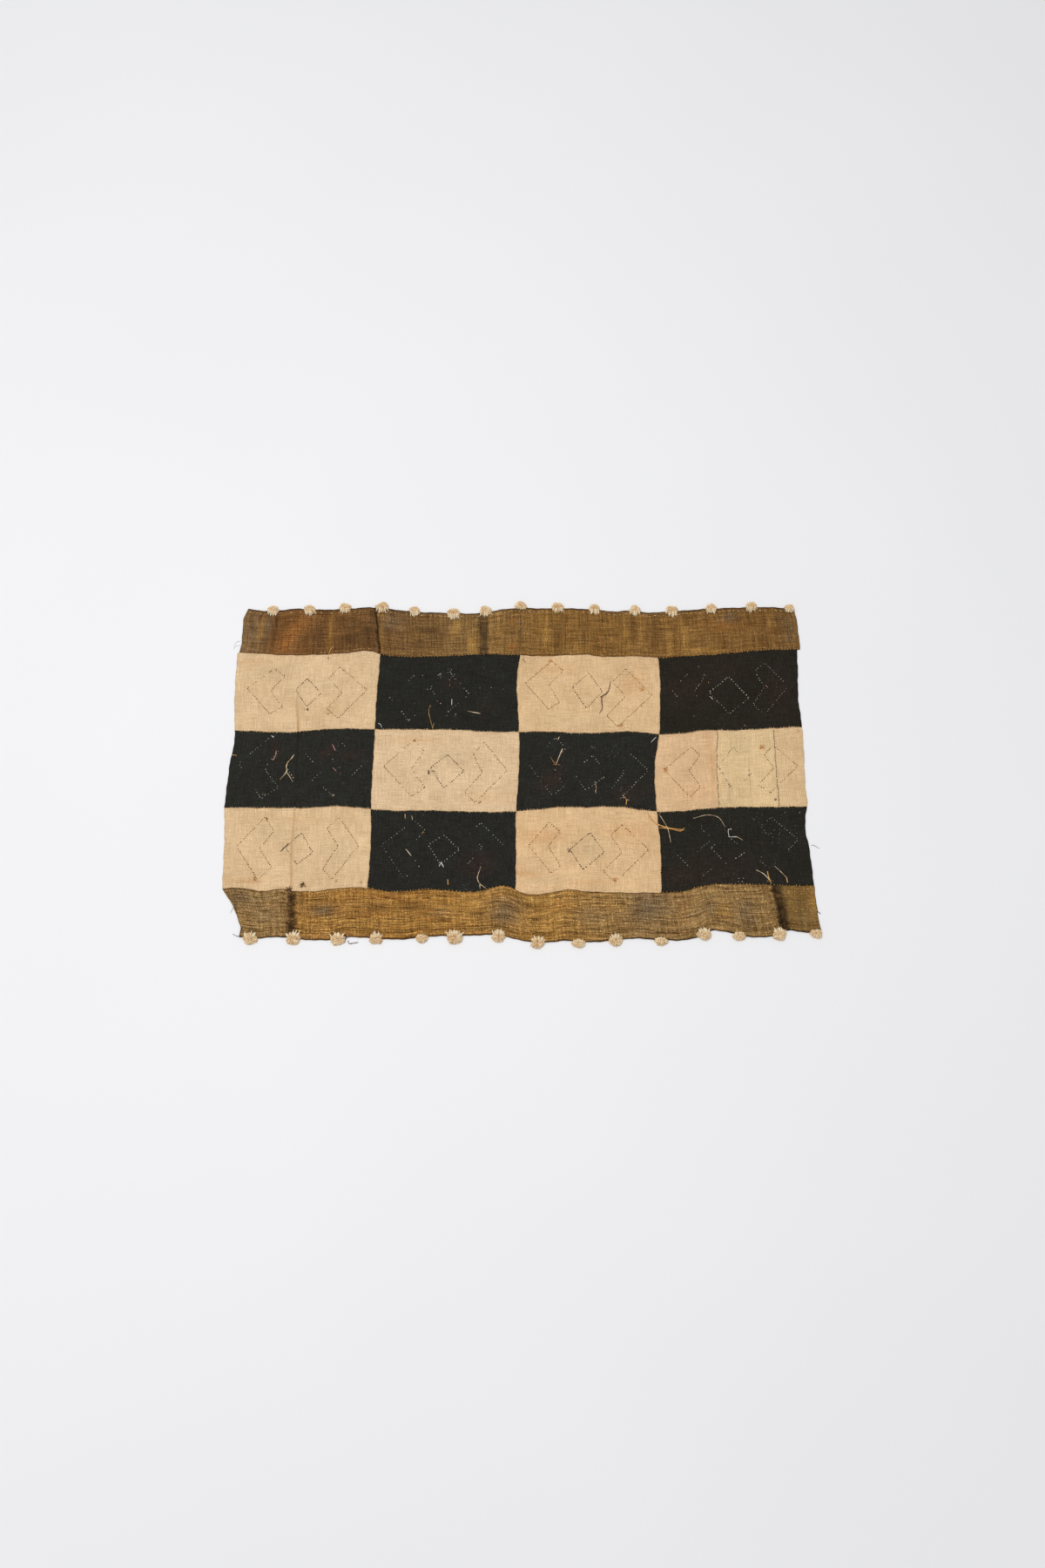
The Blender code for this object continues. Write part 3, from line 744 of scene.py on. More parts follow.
def make_cloth_recipe():
    """The colour, roughness and height of one cloth."""
    sources = {"Place": "Vector", "Dye": "Color", "Edge": "Float", "Hem": "Float"}
    tree, given, out = new_group("woven raffia", sources | dict.fromkeys(VALUES, "Float"),
                                 {"Colour": "Color", "Roughness": "Float", "Height": "Float"})
    woven, tones = (
        add(tree, "Group", {name: given[name] for name in names}, node_tree=group).outputs
        for group, names in ((weave, ("Place", "Warp width", "Weft width")),
                             (thread_tones, ("Place", "Fineness", "Length")))
    )
    top, height = woven["Warp on top"], woven["Height"]
    strayed = less(tones["Warp tone"], 0.5)
    calm = plus(times(strayed, given["Warp share"]), 0.5)
    tone = plus(times(calm, top), times(tones["Weft tone"], less(1.0, top)))
    crossing = woven["Crossing"]
    drawn = add(tree, "TexWhiteNoise", {"Vector": crossing}, noise_dimensions="3D").outputs
    again = add(tree, "TexWhiteNoise", {"Vector": crossing, "W": 7.0}, noise_dimensions="4D").outputs[0]
    picked = work("GREATER_THAN", given["Pale share"], drawn["Value"])
    waved = plus(given["Hem"], times(strayed, HEM_WAVE))
    shades = [
        plus(1.0, times(less(again, 0.5), given["Speckle"])),
        plus(1.0, times(picked, less(given["Pale lift"], 1.0))),
        # painted shade: the threads darken where they dip into the gaps
        between(height, 0.05, 0.5, given["Gap"], 1.0),
        less(1.0, times(tones["Slub"], given["Slubs"]), use_clamp=True),
        between(noise(given["Place"], 14.0, 4.0, 0.6)[0], 0.25, 0.75, 0.92, 1.08),
        # painted shade within 3 mm of the sheet's edges and seams
        between(given["Edge"], 0.0, 0.0028, given["Edge shade"], 1.0),
        # painted shade on the rolled edge, along a border's outer edge
        between(given["Hem"], 0.0015, 0.0045, given["Rolled edge"], 1.0),
    ]
    for at in HEM_LINES:
        line = between(work("ABSOLUTE", less(waved, at)), 0.0006, 0.0018, 1.0, 0.0)
        shades.append(less(1.0, times(line, given["Hem line"]), use_clamp=True))
    # light is the threads' own tone times the factors above, the painted shade among them; the powers below
    # darken and warm the painted shade as they do a dark thread
    light = plus(1.0, times(between(tone, 0.3, 0.7, -1.0, 1.0), given["Contrast"]))
    for shade in shades:
        light = times(light, shade)
    powers = [work("POWER", light, power) for power in SHADE_POWERS]
    bright = scaled(add(tree, "CombineXYZ", powers).outputs[0], given["Brightness"])
    hue = blend_colours(times(given["Speckle"], 0.12), given["Dye"], drawn["Color"], "OVERLAY")
    aged = blend_colours(times(tones["Warmth"], given["Warmth"]), hue, AGED, "MULTIPLY")
    link_all(out, {
        "Colour": work("MULTIPLY", aged, bright, kind="VectorMath"),
        "Roughness": between(height, 0.0, 1.0, 0.95, 0.75),
        "Height": plus(height, times(tone, 0.8)),
    })
    return tree


cloth_recipe = make_cloth_recipe()
print("recipe with", len(VALUES), "values")


# %% Cloth materials
def dress(shader, colour, roughness, height, strength, depth, specular):
    """Links what a shader is given, with the height as a bump."""
    bump = add(colour.id_data, "Bump", {"Strength": strength, "Distance": depth, "Height": height})
    link_all(shader.inputs, {"Base Color": colour, "Roughness": roughness, "Normal": bump.outputs[0]})
    shader.inputs["Specular IOR Level"].default_value = specular


def cloth_material(name, values):
    """One cloth's material: the recipe with its own values."""
    made, tree, shader = new_finish(name + " raffia cloth")
    given = dict(zip(VALUES, values), Place=add(tree, "UVMap", uv_map="weave").outputs[0])
    for label, output in (("Dye", "Color"), ("Edge", "Fac"), ("Hem", "Fac")):
        given[label] = add(tree, "Attribute", attribute_name=label.lower()).outputs[output]
    recipe = add(tree, "Group", given, node_tree=cloth_recipe).outputs
    dress(shader, recipe["Colour"], recipe["Roughness"], recipe["Height"], 0.5, 0.35 * MM, 0.1)
    return made


cloth_materials = {name: cloth_material(name, values) for name, values in CLOTHS.items()}
print("cloth materials:", ", ".join(cloth_materials))

# %% [markdown]
# ## Sheets
# Each panel and each border strip is one thin sheet. A flat unit grid is made and given a thickness, and
# then each of its points is put between the four lines that bound the piece. That keeps the grid's rows
# and columns along the threads of the cloth, so a map of real millimetres follows the weave.

# %% Sheets
CELL_ACROSS = 3.0
CELL_UP = 4.0
GAP = 0.1
SEAM_DIP = 0.45
DIP_REACH = 2.5
SHARP = math.radians(50)
# The lines cross at a slant, so a point's place between them is found in a few rounds
ROUNDS = 8


def unit_sheet(across, up):
    """A closed sheet from 0 to 1 each way: its underside at 0 and its upper side at 1."""
    bm = bmesh.new()
    bmesh.ops.create_grid(bm, x_segments=across, y_segments=up, size=0.5)
    bmesh.ops.translate(bm, verts=bm.verts, vec=(0.5, 0.5, 1))
    bmesh.ops.solidify(bm, geom=bm.faces[:], thickness=1.0)
    bmesh.ops.recalc_face_normals(bm, faces=bm.faces)
    return bm


def spread(unit, left, right, low, high):
    """Where the points of a unit sheet lie between four lines."""
    u, v = unit[:, 0], unit[:, 1]
    x, y = np.zeros(len(u)), np.full(len(u), float(low(0)))
    for _ in range(ROUNDS):
        x = (1 - u) * (left(y) + GAP / 2) + u * (right(y) - GAP / 2)
        y = (1 - v) * (low(x) + GAP / 2) + v * (high(x) - GAP / 2)
    return x, y


def put(bm, name, finish, body="root"):
    """Makes an object of a bmesh, with a finish, that rides on the body."""
    made = placed(name, as_mesh(bm, name))
    made.data.materials.append(finish)
    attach(made, body)
    return made


def store(mesh, name, values, kind="FLOAT"):
    """Keeps one value or colour for each point of a mesh."""
    attribute = mesh.attributes.new(name, kind, "POINT")
    key = "value" if kind == "FLOAT" else "color"
    attribute.data.foreach_set(key, np.asarray(values, np.float32).ravel())


def dye_of(cloth, dyes, x, y):
    """The dye of a panel or of a border at its points, with painted shade along the creases of the panels.
    """
    if cloth in BANDS:
        return with_bands(with_patches(drift(dyes, x), BORDER_PATCHES, x, y), BANDS[cloth], x, y)
    colours = np.tile(linear(*dyes)[:3], (len(x), 1))
    return with_crease(with_patches(colours, PANEL_PATCHES[cloth], x, y), x, y)


def make_sheet(node, cloth, dyes, left, right, low, high, hem=None, finish=None):
    """One cloth between four lines, in place of its node."""
    middle = float(left(low(0)) + right(low(0))) / 2
    wide = float(right(low(middle)) - left(low(middle)))
    tall = float(high(middle) - low(middle))
    bm = unit_sheet(round(wide / CELL_ACROSS), round(tall / CELL_UP))
    made = put(bm, "cloth_" + node, cloth_materials[finish or cloth])
    mesh = made.data
    unit = np.empty(len(mesh.vertices) * 3)
    mesh.vertices.foreach_get("co", unit)
    unit = unit.reshape(-1, 3)
    x, y = spread(unit, left, right, low, high)
    edge = np.stack([x - left(y), right(y) - x, y - low(x), high(x) - y]).min(axis=0)
    over = surface(x, y) - SEAM_DIP * step(edge, 0, DIP_REACH)
    under = UNDERSIDE + lift(x, y) + 0.5 * unevenness(x, y)
    z = np.where(unit[:, 2] > 0.5, over, np.minimum(under, over - THINNEST))
    mesh.vertices.foreach_set("co", (np.stack([x, y, z], axis=1) * MM).ravel())
    store(mesh, "edge", edge * MM)
    store(mesh, "hem", np.abs(y - hem(x)) * MM if hem else np.ones(len(x)))
    # The dye attribute also holds painted shade: along the old crease, and along two faint creases of panel
    # 3_4.
    store(mesh, "dye", np.column_stack([dye_of(cloth, dyes, x, y), np.ones(len(x))]), "FLOAT_COLOR")
    corner = np.empty(len(mesh.loops), int)
    mesh.loops.foreach_get("vertex_index", corner)
    flat = np.stack([middle + unit[:, 0] * wide, float(low(middle)) + unit[:, 1] * tall], axis=1) * MM
    mesh.uv_layers.new(name="weave").data.foreach_set("uv", flat[corner].ravel())
    mesh.polygons.foreach_set("use_smooth", np.ones(len(mesh.polygons), bool))
    mesh.set_sharp_from_angle(angle=SHARP)
    mesh.update()
    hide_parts(node)


def cloth_of(row, column):
    """Which cloth a panel is of."""
    return "tan" if (row + column) % 2 == 0 else "black"


for row in range(3):
    for column in range(4):
        cloth = cloth_of(row, column)
        number = f"{row + 1}_{column + 1}"
        sides = {"": uprights[column : column + 2]}
        if number == "2_4":
            sides = {f"_strip_{n + 1}": strips[n : n + 2] for n in range(3)}
        for part, ends in sides.items():
            lines = *ends, rows[row + 2], rows[row + 1]
            make_sheet(f"check_{number}_{cloth}{part}", cloth, PANEL_DYES[number + part], *lines)
for i in range(3):
    ends = top_lines[i : i + 2]
    make_sheet(f"top_border_{i + 1}", "olive", TOP_DYES, *ends, top_seam, top_edge, top_edge)
    ends = bottom_lines[i : i + 2]
    finish = "calm ochre" if i == 2 else "ochre"
    lines = *ends, bottom_edge, bottom_seam, bottom_edge
    make_sheet(f"bottom_border_{i + 1}", "ochre", BOTTOM_DYES, *lines, finish)
sheets = [o for o in bpy.data.objects if o.name.startswith("cloth_")]
print("sheets:", len(sheets), "with", sum(len(o.data.polygons) for o in sheets), "faces")

# %% [markdown]
# ## Stitches and strands
# A stitch is a short bit of raffia pulled into the cloth, and a loose end is a longer one that lies on it.
# Both are repeated a thousand times, so each copy has only a few faces. One unit of each is made once, and
# its copies are bent into their places. Every copy keeps the colour of its own bit of raffia.

# %% Yarns
# The darkest and the lightest tone of each yarn
YARNS = {
    "brown": ((98, 62, 28), (154, 108, 56)), "dark": ((44, 34, 26), (84, 64, 46)),
    "grey": ((118, 114, 100), (196, 190, 172)), "gold": ((150, 106, 54), (220, 178, 112)),
    "pale": ((186, 160, 122), (236, 214, 178)), "raffia": ((156, 120, 80), (240, 220, 188)),
    "orange": ((200, 138, 70), (234, 184, 114)), "white": ((204, 200, 190), (244, 240, 232)),
    "pink": ((168, 116, 104), (214, 176, 160)), "umber": ((46, 32, 18), (92, 66, 38)),
    "tan": ((206, 170, 124), (236, 206, 162)), "bark": ((72, 48, 28), (130, 94, 58)),
    "pompom": ((212, 160, 98), (255, 244, 210)),
}


def yarn(kind, tone):
    """A yarn's colour, from its darkest at 0 to its lightest at 1."""
    dark, light = (linear(*colour) for colour in YARNS[kind])
    return [d + tone * (l - d) for d, l in zip(dark, light)]


def yarn_material():
    """One finish for every yarn: its own colour, with a fine mottle about a millimetre across."""
    made, tree, shader = new_finish("raffia yarn")
    fibre = noise(add(tree, "TexCoord").outputs["Object"], 900.0, 2.0)[0]
    colour = add(tree, "Attribute", attribute_name="dye").outputs["Color"]
    shown = scaled(colour, between(fibre, 0.3, 0.7, 0.8, 1.18))
    dress(shader, shown, between(fibre, 0.3, 0.7, 0.75, 0.6), fibre, 0.4, 0.1 * MM, 0.25)
    return made


yarn_finish = yarn_material()
print("yarns:", ", ".join(YARNS))


# %% Stitch and strand helpers
def unit_stitch():
    """A round bead of radius 1."""
    bm = bmesh.new()
    bmesh.ops.create_icosphere(bm, subdivisions=1, radius=1.0)
    return as_mesh(bm, "unit stitch")


def unit_strand(sides, steps):
    """A closed strand of radius 1 that stands on the origin, with a ring of points at each whole height."""
    bm = bmesh.new()
    bmesh.ops.create_cone(bm, cap_ends=True, segments=sides, radius1=1, radius2=1, depth=1)
    bmesh.ops.translate(bm, verts=bm.verts, vec=(0, 0, 0.5))
    for _ in range(steps - 1):
        end = max(bm.faces, key=lambda face: face.calc_center_median().z)
        end = bmesh.ops.extrude_discrete_faces(bm, faces=[end])["faces"][0]
        bmesh.ops.translate(bm, verts=end.verts, vec=(0, 0, 1))
    return as_mesh(bm, "unit strand")


stitch_mesh = unit_stitch()
strand_meshes = {}


def new_work():
    """A bmesh with a colour for each point."""
    bm = bmesh.new()
    # The colour layer also holds painted shade, at the bunch end of each pompom strand.
    bm.verts.layers.float_color.new("dye")
    return bm


def copied(bm, mesh):
    """Adds a copy of a unit mesh, and gives its points and the layer that keeps their colours."""
    start = len(bm.verts)
    bm.from_mesh(mesh)
    bm.verts.ensure_lookup_table()
    return bm.verts[start:], bm.verts.layers.float_color["dye"]


def sew(bm, x, y, turn, length, width, high, colour, sunk=0.3):
    """One stitch on the cloth, in millimetres. sunk is the share of its height below the surface."""
    z = float(surface(x, y)) + high * (1 - 2 * sunk)
    scale = Matrix.Diagonal((length / 2, width / 2, high, 1))
    where = Matrix.Translation((x, y, z)) @ Matrix.Rotation(turn, 4, "Z") @ scale
    verts, layer = copied(bm, stitch_mesh)
    for vert in verts:
        vert.co = where @ vert.co
        vert[layer] = colour


def strand(bm, path, radii, colours, sides=3, flat=1.0):
    """A closed strand along a path of points, with a radius and a colour for each."""
    key = sides, len(path) - 1
    if key not in strand_meshes:
        strand_meshes[key] = unit_strand(*key)
    frames = []
    for number, point in enumerate(path):
        along = (path[min(number + 1, key[1])] - path[max(number - 1, 0)]).normalized()
        aside = along.cross(Vector((0, 0, 1)) if abs(along.z) < 0.95 else Vector((1, 0, 0))).normalized()
        frames.append((point, aside, aside.cross(along)))
    verts, layer = copied(bm, strand_meshes[key])
    for vert in verts:
        number = round(vert.co.z)
        point, aside, over = frames[number]
        vert.co = point + radii[number] * (vert.co.x * aside + vert.co.y * flat * over)
        vert[layer] = colours[number]


def sew_on(bm, name):
    """Puts a piece of needlework, made in millimetres, in its place."""
    bmesh.ops.scale(bm, verts=bm.verts, vec=(MM, MM, MM))
    made = put(bm, name, yarn_finish)
    print(name, "has", len(made.data.polygons), "faces")
    return made


print("stitch", len(stitch_mesh.polygons), "faces")

# %% [markdown]
# ## Running stitches of the motifs
# The needle goes in and out every five or seven millimetres round each patch. The stitches are brown on
# the tan panels, and darker and bolder round the diamonds. On the black panels they are pale dots, wider
# apart, and along some edges of a patch they have sunk into the cloth, so only a share of them shows. The
# worn ones are missing in short runs, as one thread wears, and not one by one.

# %% Motif stitches
STITCH_PITCH = {"tan": 5.3, "black": 7.2}
WORN_RUN = 4
# The share of the stitches that still shows in a run, whole or worn
WHOLE_LEFT = 0.94
WORN_LEFT = {"tan": 0.75, "black": 0.2}
# On each cloth, for chevrons and then for diamonds: yarn, length, width and height
STITCHES = {
    "tan": (("brown", 3.3, 2.5, 0.6), ("dark", 3.0, 2.9, 0.7)),
    "black": (("grey", 2.3, 2.0, 0.5), ("grey", 2.7, 2.4, 0.6)),
}


def sew_round(bm, corners, share, left, pitch, kind, length, width, high, chance):
    """Running stitches round a motif, with each run of them as worn as chance has it."""
    for (x0, y0), (x1, y1) in zip(corners, [*corners[1:], corners[0]]):
        reach = math.hypot(x1 - x0, y1 - y0)
        turn = math.atan2(y1 - y0, x1 - x0)
        count = max(1, round(reach / pitch))
        edge_tone = chance.random()
        for i in range(count):
            if i % WORN_RUN == 0:
                kept = WHOLE_LEFT if chance.random() < share else left * share
            shown = chance.random() < kept
            t = (i + 0.5 + chance.uniform(-0.15, 0.15)) / count
            stray = chance.uniform(-0.7, 0.7)
            x = x0 + t * (x1 - x0) - stray * math.sin(turn)
            y = y0 + t * (y1 - y0) + stray * math.cos(turn)
            size = chance.uniform(0.65, 1.25)
            lean = turn + chance.uniform(-0.35, 0.35)
            tone = 0.6 * edge_tone + 0.4 * chance.random()
            if shown:
                sew(bm, x, y, lean, length * size, width * size, high, yarn(kind, tone))


stitch_chance = random.Random(5)
for cloth in ("tan", "black"):
    bm = new_work()
    left, pitch = WORN_LEFT[cloth], STITCH_PITCH[cloth]
    for panel, motifs in outlines.items():
        row, column = (int(n) - 1 for n in panel.split("_"))
        if cloth_of(row, column) == cloth:
            for number, (corners, share) in enumerate(motifs):
                sew_round(bm, corners, share, left, pitch, *STITCHES[cloth][number % 2], stitch_chance)
    sew_on(bm, f"motif_stitches_on_{cloth}")

# %% [markdown]
# ## Seams and hems
# The border strips are whipped to the panels with golden raffia, so small teeth stand over the black cloth,
# and along the tan panels the seam looks dark. A row of light running stitches holds each hem. The tan
# panels are joined to the black ones with a fine thread that hardly shows, apart from the fraying edge of
# the tan cloth.


# %% Seam and hem stitches
def along_line(line, start, end, pitch, chance, skip=0.0):
    """Places along a line that runs along the cloth: x, y and the line's direction."""
    x = start
    while x < end:
        if chance.random() >= skip:
            y, ahead = float(line(x)), float(line(x + 1))
            yield x, y, math.atan2(ahead - y, 1.0)
        x += pitch * chance.uniform(0.75, 1.25)


def beside(line, over):
    """A line that runs this far over another."""
    return lambda x: line(x) + over


def column_at(x):
    """The column of panels at a place along the cloth."""
    return sum(x > float(line(0)) for line in uprights[1:4])


WHIP_PITCH = 7.0
SEAM_ENDS = (-632, 634)

seam_chance = random.Random(8)
bm = new_work()
for line, side, row in ((top_seam, 1, 0), (bottom_seam, -1, 2)):
    for x, y, turn in along_line(line, *SEAM_ENDS, WHIP_PITCH, seam_chance, 0.12):
        if cloth_of(row, column_at(x)) == "black":
            lean = turn + math.pi / 2 + seam_chance.uniform(-0.7, 0.7)
            long = seam_chance.uniform(1.2, 3.8)
            tone = seam_chance.uniform(0.2, 1)
            sew(bm, x, y - 0.5 * side, lean, long, 1.7, 0.8, yarn("gold", tone), sunk=0.1)
        else:
            lean = turn + seam_chance.uniform(-0.2, 0.2)
            sew(bm, x, y + 0.7 * side, lean, 6.0, 1.5, 0.5, yarn("bark", seam_chance.random()))
sew_on(bm, "whip_stitches")

# Line, how far over it the stitches lie, its start and end, pitch, share of stitches missing, and yarn
HEM_ROWS = (
    (top_edge, -TOP_HEM_WIDTH, -618, 630, 11, 0.2, "pale"),
    (top_seam, 6, -450, 634, 9, 0.25, "gold"),
    (bottom_edge, BOTTOM_HEM_WIDTH + 1, -585, 640, 11, 0.5, "gold"),
    (bottom_edge, 4, -585, 640, 9, 0.4, "gold"),
    (bottom_seam, -7, -630, 634, 13, 0.7, "gold"),
)
# The fine thread along the tan panels: line, row of panels, and how far over the line it lies
FINE_ROWS = (
    (top_seam, 0, -5), (upper_seam, 0, 5), (upper_seam, 1, -5),
    (lower_seam, 1, 5), (lower_seam, 2, -5), (bottom_seam, 2, 5),
)
FINE_PITCH = 6.5
# The share of stitches that shows on each of the two seams between the three strips
STRIP_SHOWN = (0.7, 0.95)
STRIP_PITCH = 5.5

bm = new_work()
for line, over, start, end, pitch, skip, kind in HEM_ROWS:
    line = beside(line, over)
    for x, y, turn in along_line(line, start, end, pitch, seam_chance, skip):
        lean = turn + seam_chance.uniform(-0.15, 0.15)
        length = seam_chance.uniform(4.2, 7.0)
        tone = seam_chance.uniform(0.2, 1)
        sew(bm, x, y + seam_chance.uniform(-0.7, 0.7), lean, length, 1.3, 0.7, yarn(kind, tone))
for line, row, over in FINE_ROWS:
    for x, y, turn in along_line(beside(line, over), -628, 626, FINE_PITCH, seam_chance, 0.5):
        if cloth_of(row, column_at(x)) == "tan":
            sew(bm, x, y + seam_chance.uniform(-0.5, 0.5), turn, 2.2, 1.0, 0.4, yarn("brown", 1.0))
for line, shown in zip(strips[1:3], STRIP_SHOWN):
    y = float(lower_seam(0)) + 6
    while y < float(upper_seam(450)) - 4:
        tone = seam_chance.random()
        if seam_chance.random() < shown:
            x = float(line(y)) + seam_chance.uniform(-0.4, 0.4)
            sew(bm, x, y, math.pi / 2, 4.8, 1.5, 0.5, yarn("dark", tone))
        y += STRIP_PITCH * seam_chance.uniform(0.7, 1.3)
sew_on(bm, "hem_stitches")

# %% Fraying edges of the tan panels
FRAY_PITCH = 4.2
LONG_FRAY = 4.4
SHORT_FRAY = 3.0


def fray(bm, x, y, turn, reach, chance):
    """A fibre end that stands out from an edge, in a direction."""
    length = chance.uniform(0.5, 1.0) * reach
    turn += chance.uniform(-0.6, 0.6)
    path = []
    for share, high in ((0.0, 0.1), (0.6, 0.55), (1.0, 0.3)):
        px, py = x + share * length * math.cos(turn), y + share * length * math.sin(turn)
        path.append(Vector((px, py, float(surface(px, py)) + high)))
    strand(bm, path, (0.8, 0.75, 0.3), [yarn("tan", chance.random())] * 3)


bm = new_work()
for number, line in ((0, upper_seam), (1, lower_seam)):
    for x, y, turn in along_line(line, -632, 628, FRAY_PITCH, seam_chance):
        tan_above = cloth_of(number, column_at(x)) == "tan"
        out = turn + (-math.pi / 2 if tan_above else math.pi / 2)
        fray(bm, x - math.cos(out), y - math.sin(out), out, LONG_FRAY, seam_chance)
for number, line in enumerate(uprights[1:4]):
    y = -270.0
    while y < 265:
        x = float(line(y))
        row = sum(y < float(seam(x)) for seam in (upper_seam, lower_seam))
        out = 0.0 if cloth_of(row, number) == "tan" else math.pi
        fray(bm, x - math.cos(out), y, out, SHORT_FRAY, seam_chance)
        y += 1.4 * FRAY_PITCH * seam_chance.uniform(0.7, 1.3)
sew_on(bm, "frayed_edges")

# %% [markdown]
# ## Loose ends and knots
# Every patch began and ended with a knot, and many ends of raffia were left long. Each is a strand along a
# few listed points. Its height follows the cloth, with a small arch in its middle, and it comes down to
# the floor where it leaves the cloth.

# %% Loose ends
# Yarn, half width, height of its arch, and its points, all in millimetres
LOOSE = (
    ("gold", 0.55, 2, ((-199, 150), (-202, 132), (-193, 94))),
    ("gold", 0.5, 1, ((-190, 107), (-193, 94))),
    ("raffia", 1.0, 2, ((-115, 136), (-101, 132), (-87, 130))),
    ("white", 0.8, 1, ((-151, 165), (-151, 150))),
    ("white", 0.6, 1.5, ((-315, 106), (-309, 103), (-307, 96))),
    ("dark", 0.95, 3, ((207, 210), (204, 193), (198, 179), (187, 171), (186, 159), (187, 142), (180, 130))),
    ("brown", 0.7, 1, ((8, 266), (16, 254))), ("brown", 0.7, 1, ((-434, 270), (-433, 263))),
    ("orange", 0.9, 1, ((-433, 276), (-429, 289), (-422, 297))),
    ("white", 0.6, 1, ((430, 172), (436, 165))), ("pink", 0.6, 1, ((556, 199), (562, 194))),
    ("raffia", 1.1, 3, ((-498, 31), (-505, 19), (-512, 10), (-514, -1), (-513, -11), (-527, -29))),
    ("raffia", 0.7, 2, ((-513, -11), (-498, -34))),
    ("pink", 0.8, 1, ((-539, 41), (-540, 27), (-545, 17))), ("pink", 0.8, 1, ((-415, 55), (-408, 41))),
    ("white", 0.8, 1, ((-552, 76), (-546, 72))), ("gold", 0.7, 1, ((-638, 29), (-631, 30), (-626, 28))),
    ("dark", 1.3, 1, ((-200, -5), (-199, -17))), ("dark", 0.7, 1, ((-195, -8), (-184, -9))),
    ("raffia", 1.0, 3, ((97, 45), (82, 6))), ("brown", 0.9, 2, ((70, 25), (79, 10), (92, 5))),
    ("white", 0.7, 1, ((306, 73), (294, 60))), ("raffia", 0.8, 1, ((90, 74), (87, 66))),
    ("raffia", 0.6, 2, ((167, -32), (170, -46), (169, -60))),
    ("orange", 0.7, 1, ((228, -64), (236, -76), (235, -88))),
    ("raffia", 0.6, 1, ((236, -76), (243, -77))),
    ("dark", 0.9, 1, ((-499, -177), (-508, -186), (-516, -195))),
    ("raffia", 0.9, 2, ((-245, -190), (-233, -205))),
    ("raffia", 0.8, 2, ((-82, -229), (-87, -246), (-89, -257), (-84, -268), (-71, -278))),
    ("raffia", 0.7, 1, ((-84, -266), (-83, -280))), ("orange", 0.9, 1, ((-153, -258), (-152, -270))),
    ("orange", 0.9, 1, ((-249, -109), (-248, -120))), ("raffia", 1.0, 1, ((-234, -113), (-232, -123))),
    ("white", 0.9, 1, ((-167, -219), (-172, -229))), ("white", 0.9, 1, ((-168, -220), (-162, -231))),
    ("orange", 1.3, 3, ((283, -108), (291, -124), (305, -135), (326, -142), (359, -146))),
    ("orange", 1.0, 2, ((306, -141), (330, -144), (352, -149), (361, -141))),
    ("raffia", 0.7, 3, ((306, -108), (316, -127), (325, -146), (330, -174))),
    ("raffia", 0.6, 3, ((381, -119), (412, -112), (436, -118), (450, -139))),
    ("white", 0.7, 1, ((463, -144), (456, -146), (457, -162))),
    ("white", 0.7, 1, ((457, -162), (475, -162))), ("raffia", 0.5, 1, ((475, -162), (487, -170))),
    ("raffia", 0.7, 2, ((512, -237), (528, -247), (541, -262))),
    ("orange", 0.8, 1, ((536, -240), (538, -254), (543, -268))),
    ("raffia", 0.5, 2, ((552, -228), (578, -256))), ("orange", 0.8, 1, ((576, -254), (578, -266))),
    ("pink", 0.5, 1, ((-412, 0), (-404, -8))),
    ("dark", 0.35, 1, ((634, -181), (641, -180), (648, -186), (653, -187))),
    ("dark", 0.6, 1, ((638, -329), (645, -335))),
    ("grey", 0.3, 1, ((-632, 300), (-648, 297), (-650, 290))),
    ("grey", 0.3, 1, ((-632, 312), (-645, 308), (-649, 300))),
    ("grey", 0.35, 1, ((-606, -312), (-611, -322), (-616, -333))),
    ("dark", 0.5, 1, ((-610, -309), (-605, -322), (-603, -331))),
    ("dark", 0.6, 1, ((-608, -379), (-598, -384), (-591, -384))),
    ("umber", 0.8, 1, ((545, -373), (543, -389))),
    ("umber", 0.9, 1, ((-363, -384), (-368, -390), (-369, -398))),
    ("dark", 0.6, 1, ((-587, -362), (-593, -384))),
    ("dark", 0.8, 1, ((-362, -393), (-360, -400), (-350, -399), (-340, -397))),
    ("orange", 0.7, 1, ((-364, -380), (-362, -388))), ("umber", 0.5, 1, ((-374, 328), (-366, 318))),
    ("umber", 0.5, 1, ((-374, 318), (-368, 329))),
)


def in_cloth(x, y):
    """Whether a place is on the cloth."""
    ends = top_lines if y > float(top_seam(x)) else bottom_lines if y < float(bottom_seam(x)) else uprights
    return float(bottom_edge(x)) < y < float(top_edge(x)) and float(ends[0](y)) < x < float(ends[-1](y))


def ground(x, y):
    """The height of what lies under a place: the cloth, or the floor."""
    return float(surface(x, y)) if in_cloth(x, y) else UNDERSIDE


def lay(bm, kind, half, arch, points, chance):
    """A loose end along its points."""
    table = {"t": range(len(points)), "x": [p[0] for p in points], "y": [p[1] for p in points]}
    xs, ys = smooth(table, "t", "x"), smooth(table, "t", "y")
    reach = sum(math.dist(a, b) for a, b in zip(points, points[1:]))
    steps = max(3, round(reach / 5))
    path, radii, colours = [], [], []
    base = chance.uniform(0.3, 0.7)
    for i in range(steps + 1):
        share = i / steps
        x, y = float(xs(share * (len(points) - 1))), float(ys(share * (len(points) - 1)))
        arched = arch * math.sin(math.pi * share) + chance.uniform(0, 0.2)
        path.append(Vector((x, y, ground(x, y) + 0.6 * half + arched)))
        full = 0.55 + 0.45 * math.sin(math.pi * (0.1 + 0.8 * share))
        radii.append(half * full * chance.uniform(0.6, 1.3))
        colours.append(yarn(kind, min(1.0, max(0.0, base + chance.uniform(-0.5, 0.5)))))
    strand(bm, path, radii, colours, sides=4, flat=0.55)


